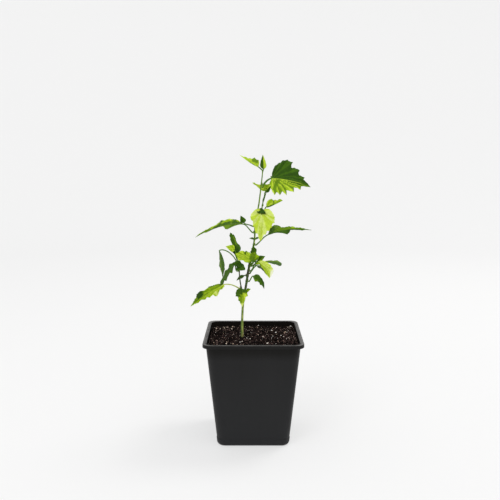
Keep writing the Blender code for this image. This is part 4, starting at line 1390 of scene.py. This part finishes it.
def makeRibs(spec, base):
    # the midrib and the side veins, as chains with radii, each with its own colour's name
    size = min(ribs["largest"], max(ribs["smallest"], spec["blade"][0] / ribs["reference"]))
    chains = []
    share = np.linspace(0.0, 0.97, 2 * ribs["points"])
    radius = ribs["midrib"] * size * (1 - ribs["midribTaper"] * share)
    darker = min(spec["tones"], key=toneOrder.index)
    chains.append((np.column_stack((midribAt(spec, base, share), radius)), ribTones[darker]))
    for sign in (1, -1):
        tone = ribTones[ofSide(spec["tones"], sign)]
        for mark in veinMarks(spec, sign):
            j = np.linspace(0.001, 0.95, ribs["points"])
            q = mark * leaned(j)
            radius = ribs["side"] * size * (1 - ribs["sideTaper"] * j) * (1.15 - 0.5 * mark)
            chains.append((np.column_stack((bladePoint(spec, base, q, j, sign), radius)), tone))
    return chains


def makeStalk(spec, foot, base):
    # from its foot to the blade's base, then on a little way under the midrib
    along = bladeFrame(spec)[0]
    reach = np.linalg.norm(base - foot)
    first = foot + toward(spec["stalk"][1], spec["launch"]) * leafSizes["leaving"] * reach
    second = base - unit((base - foot) / reach + along) * leafSizes["arriving"] * reach
    t = np.linspace(0, 1, leafSizes["stalkSteps"])[:, None]
    line = foot * (1 - t) ** 3 + first * 3 * t * (1 - t) ** 2 + second * 3 * t**2 * (1 - t) + base * t**3
    thick = 1 + leafSizes["footSwell"] * np.exp(-t[:, 0] * 8) - leafSizes["thinning"] * t[:, 0]
    onward = midribAt(spec, base, np.linspace(0.02, leafSizes["ribShare"], 5))
    thick = np.concatenate((thick, np.linspace(0.8, 0.45, 5))) * leafSizes["stalkRadius"]
    return np.column_stack((np.vstack((line, onward)), thick))


def makeLeafFinish():
    material, tree, shader = newFinish("leafSkin", 0.6, 0.08)
    # leafTint holds the blades' colours with their painted light and shade
    tint = addNode(tree, "ShaderNodeAttribute", attribute_name="leafTint").outputs["Color"]
    cloud = noiseOn(tree, placed(tree), shading["cloudScale"], 3.0)
    cells = addNode(tree, "ShaderNodeTexVoronoi", {
        "Vector": placed(tree, source="UV"), "Scale": shading["netScale"]}, feature="DISTANCE_TO_EDGE")
    net = span(tree, cells.outputs["Distance"], 0.0, shading["netWidth"], 0.0, 1.0)
    colour = mixed(tree, 1.0, tint, span(tree, cloud, 0.35, 0.68, 0.86, 1.10), "MULTIPLY")
    colour = mixed(tree, 1.0, colour, span(tree, net, 0.0, 1.0, 1.22, 1.0), "MULTIPLY")
    tree.links.new(colour, shader.inputs["Base Color"])
    tree.links.new(span(tree, cloud, 0.3, 0.7, 0.42, 0.58), shader.inputs["Roughness"])
    bumped(tree, shader, net, 0.00008, 0.6)
    return material


def makeSoftFinish(name, colour):
    # stalks, veins, buds and pores: one colour, streaked a little
    material, tree, shader = newFinish(name, 0.6, 0.08)
    streaks = noiseOn(tree, placed(tree), 600.0, 3.0)
    streaked = mixed(tree, span(tree, streaks, 0.3, 0.7, 0.0, 1.0), scaled(colour, 0.8), scaled(colour, 1.2))
    tree.links.new(streaked, shader.inputs["Base Color"])
    bumped(tree, shader, streaks, 0.00005, 0.5)
    return material


def makeSpur(centre, foot, out):
    # the swollen foot of a stalk
    end = foot + out * leafSizes["spur"]
    points = np.array((centre, foot, (foot + end) / 2, end, end + out * leafSizes["spurTip"]))
    return end, np.column_stack((points, np.array(leafSizes["spurSwell"]) * leafSizes["spurRadius"]))


def makeBud(foot, out):
    # a resting bud between the stalk and the stem
    growing = unit(out + np.array((0, 0, stem["budRise"])))
    seat = foot + np.array((0, 0, stem["budSeat"]))
    swell = np.array(stem["budSwell"]) * stem["budRadius"]
    steps = np.linspace(0, 1, len(swell))[:, None] - stem["budSunk"]
    return np.column_stack((seat + growing * steps * stem["bud"], swell))


def growFoliage():
    # blades and the nodes that they stand for by slot, veins and stalks by tone, then stalk feet and buds
    sheets = {"leaf_dark": [], "leaf_light": []}
    stood = {"leaf_dark": [], "leaf_light": []}
    ribChains = {tone: [] for tone in ribColours}
    stalkChains = {tone: [] for tone in stalkColours}
    feet, buds = [], []
    for name, mass in masses.items():
        limb = mass["limb"]
        if "height" in mass:
            centre, foot, out = limbStart(limb, mass["height"], mass["leaves"][0]["stalk"][1])
        else:
            line = centres[limb]
            out = unit(line[-1] - line[-2])
            centre, foot = line[-1], line[-1] + out * clear
        slot = "leaf_light" if name in lightMasses else "leaf_dark"
        stood[slot].append(name)
        end, spur = makeSpur(centre, foot, out)
        feet.append(spur)
        if "height" in mass:
            buds.append(makeBud(foot, out))
        for spec in mass["leaves"]:
            length, heading, lift = spec["stalk"]
            base = centre + length * toward(heading, lift)
            stalkChains[spec["stalkTone"]].append(makeStalk(spec, end, base))
            sheets[slot].append(makeBlade(spec, base))
            for chain, tone in makeRibs(spec, base):
                ribChains[tone].append(chain)
    return sheets, stood, ribChains, stalkChains, feet, buds


def makeLeafPiece(name, sheets, finish):
    points, faces, flats, first = [], [], [], 0
    for sheetPoints, sheetFaces, _, flat in sheets:
        points.append(sheetPoints)
        flats.append(flat)
        faces += [tuple(first + i for i in face) for face in sheetFaces]
        first += len(sheetPoints)
    piece = newPiece(name, np.vstack(points), faces)
    piece.data.materials.append(finish)
    colours = np.vstack([sheet[2] for sheet in sheets])
    tint = piece.data.color_attributes.new("leafTint", "FLOAT_COLOR", "CORNER")
    tint.data.foreach_set("color", np.column_stack((colours, np.ones(len(colours)))).ravel())
    flats = np.vstack(flats)
    layer = piece.data.uv_layers.new(name="flatLeaf")
    corners = np.zeros(len(piece.data.loops), np.int32)
    piece.data.loops.foreach_get("vertex_index", corners)
    layer.data.foreach_set("uv", flats[corners].ravel())
    shell = piece.modifiers.new("shell", "SOLIDIFY")
    shell.thickness = leafSizes["thickness"]
    shell.offset = 0
    plainMesh(piece)
    piece.data.shade_smooth()
    return piece


def makePlant():
    barkFinish = makeBarkFinish()
    chains = [np.column_stack((centres[name], swollenRadii(name))) for name in limbs]
    piece = sweptPiece("stemBark", chains, stem["sides"], barkFinish, stem["relief"], stem["reliefScale"])
    pores = growWith(newPiece("barkPores", [v.co for v in piece.data.vertices],
                              [tuple(f.vertices) for f in piece.data.polygons]), scatterTree, {
        "Density": stem["pores"], "Smallest": 0.00006, "Largest": 0.00020, "Flatness": 0.5, "Tumble": 0.0,
        "Lumps": 0.3, "Seed": 5, "Finish": makeSoftFinish("corkPore", twigColours["pore"])})
    addToPart(piece, "stem_bark", *limbs)
    addToPart(pores, "stem_bark")
    sheets, stood, ribChains, stalkChains, feet, buds = growFoliage()
    skinFinish = makeLeafFinish()
    for slot, name in (("leaf_dark", "darkLeaves"), ("leaf_light", "lightLeaves")):
        addToPart(makeLeafPiece(name, sheets[slot], skinFinish), slot, *stood[slot])
    for tone, chains in ribChains.items():
        finish = makeSoftFinish(tone + "Rib", ribColours[tone])
        addToPart(sweptPiece(tone + "Ribs", chains, 6, finish), ribSlots[tone])
    for tone, chains in stalkChains.items():
        finish = makeSoftFinish(tone + "Stalk", stalkColours[tone])
        addToPart(sweptPiece(tone + "Stalks", chains, 10, finish, 0.00008, 1800.0), "leaf_dark")
    finish = makeSoftFinish("stalkFoot", twigColours["foot"])
    addToPart(sweptPiece("stalkFeet", feet, 12, finish, 0.00012, 2400.0), "stem_bark")
    finish = makeSoftFinish("budScale", twigColours["bud"])
    addToPart(sweptPiece("restingBuds", buds, 10, finish, 0.00008, 2400.0), "stem_bark")


makePlant()


# Studio

studio = dict(
    floorRadius=1.5,
    wallRadius=2.0,
    wallHeight=2.2,
    floorSteps=6,
    bendSteps=12,
    around=96,
    colour=0.35,
    glow=0.55,
    world=0.75,
    aim=(0, 0, 0.14),  # what the lamps look at
)
lights = (
    # name, place, size, power, colour
    ("keyLight", (0.9, 0.5, 1.6), 0.7, 10.0, (1.0, 0.99, 0.97)),
    ("fillLight", (-0.9, -1.3, 1.2), 1.0, 8.0, (0.98, 0.99, 1.0)),
)
camera = dict(place=(-0.0030, -0.5510, 0.2495), dip=7.3, lens=42.48, sensor=36.0)


def makeStage():
    # one seamless bowl: a flat floor that sweeps up into the backdrop
    flat, bend = studio["floorRadius"], studio["wallRadius"] - studio["floorRadius"]
    floorSteps, bendSteps, around = studio["floorSteps"], studio["bendSteps"], studio["around"]
    profile = [(flat * step / floorSteps, 0.0) for step in range(1, floorSteps + 1)]
    for step in range(1, bendSteps + 1):
        angle = math.radians(90 * step / bendSteps)
        profile.append((flat + bend * math.sin(angle), bend * (1 - math.cos(angle))))
    profile.append((studio["wallRadius"], studio["wallHeight"]))
    points, faces = [(0, 0, 0)], []
    for radius, z in profile:
        for i in range(around):
            turn = 2 * math.pi * i / around
            points.append((radius * math.cos(turn), radius * math.sin(turn), z))
    faces += [(0, 1 + i, 1 + (i + 1) % around) for i in range(around)]
    for row in range(len(profile) - 1):
        for i in range(around):
            a, b = 1 + row * around + i, 1 + row * around + (i + 1) % around
            faces.append((a, a + around, b + around, b))
    stage = newPiece("seamlessBackdrop", points, faces)
    material, tree, shader = newFinish("paleBackdrop", 0.9, 0.0)
    tone = studio["colour"]
    shader.inputs["Base Color"].default_value = (tone, tone, tone, 1)
    shader.inputs["Emission Color"].default_value = (1, 1, 1, 1)
    shader.inputs["Emission Strength"].default_value = studio["glow"]
    stage.data.materials.append(material)


def makeLights():
    world = bpy.data.worlds.new("studioAir")
    bpy.context.scene.world = world
    world.use_nodes = True
    air = world.node_tree.nodes["Background"].inputs
    air["Color"].default_value = (1, 1, 1, 1)
    air["Strength"].default_value = studio["world"]
    for name, place, size, power, colour in lights:
        lamp = bpy.data.lights.new(name, "AREA")
        lamp.shape, lamp.size, lamp.energy, lamp.color = "DISK", size, power, colour
        holder = bpy.data.objects.new(name, lamp)
        bpy.context.scene.collection.objects.link(holder)
        holder.location = place
        aim = Vector(studio["aim"]) - Vector(place)
        holder.rotation_euler = aim.to_track_quat("-Z", "Y").to_euler()


def makeCamera():
    lens = bpy.data.cameras.new("camera")
    lens.sensor_fit, lens.sensor_width, lens.lens = "HORIZONTAL", camera["sensor"], camera["lens"]
    holder = bpy.data.objects.new("camera", lens)
    bpy.context.scene.collection.objects.link(holder)
    holder.location = camera["place"]
    holder.rotation_euler = (math.radians(90 - camera["dip"]), 0, 0)
    bpy.context.scene.camera = holder


makeStage()
makeLights()
makeCamera()
bpy.context.scene.view_settings.view_transform = "Standard"
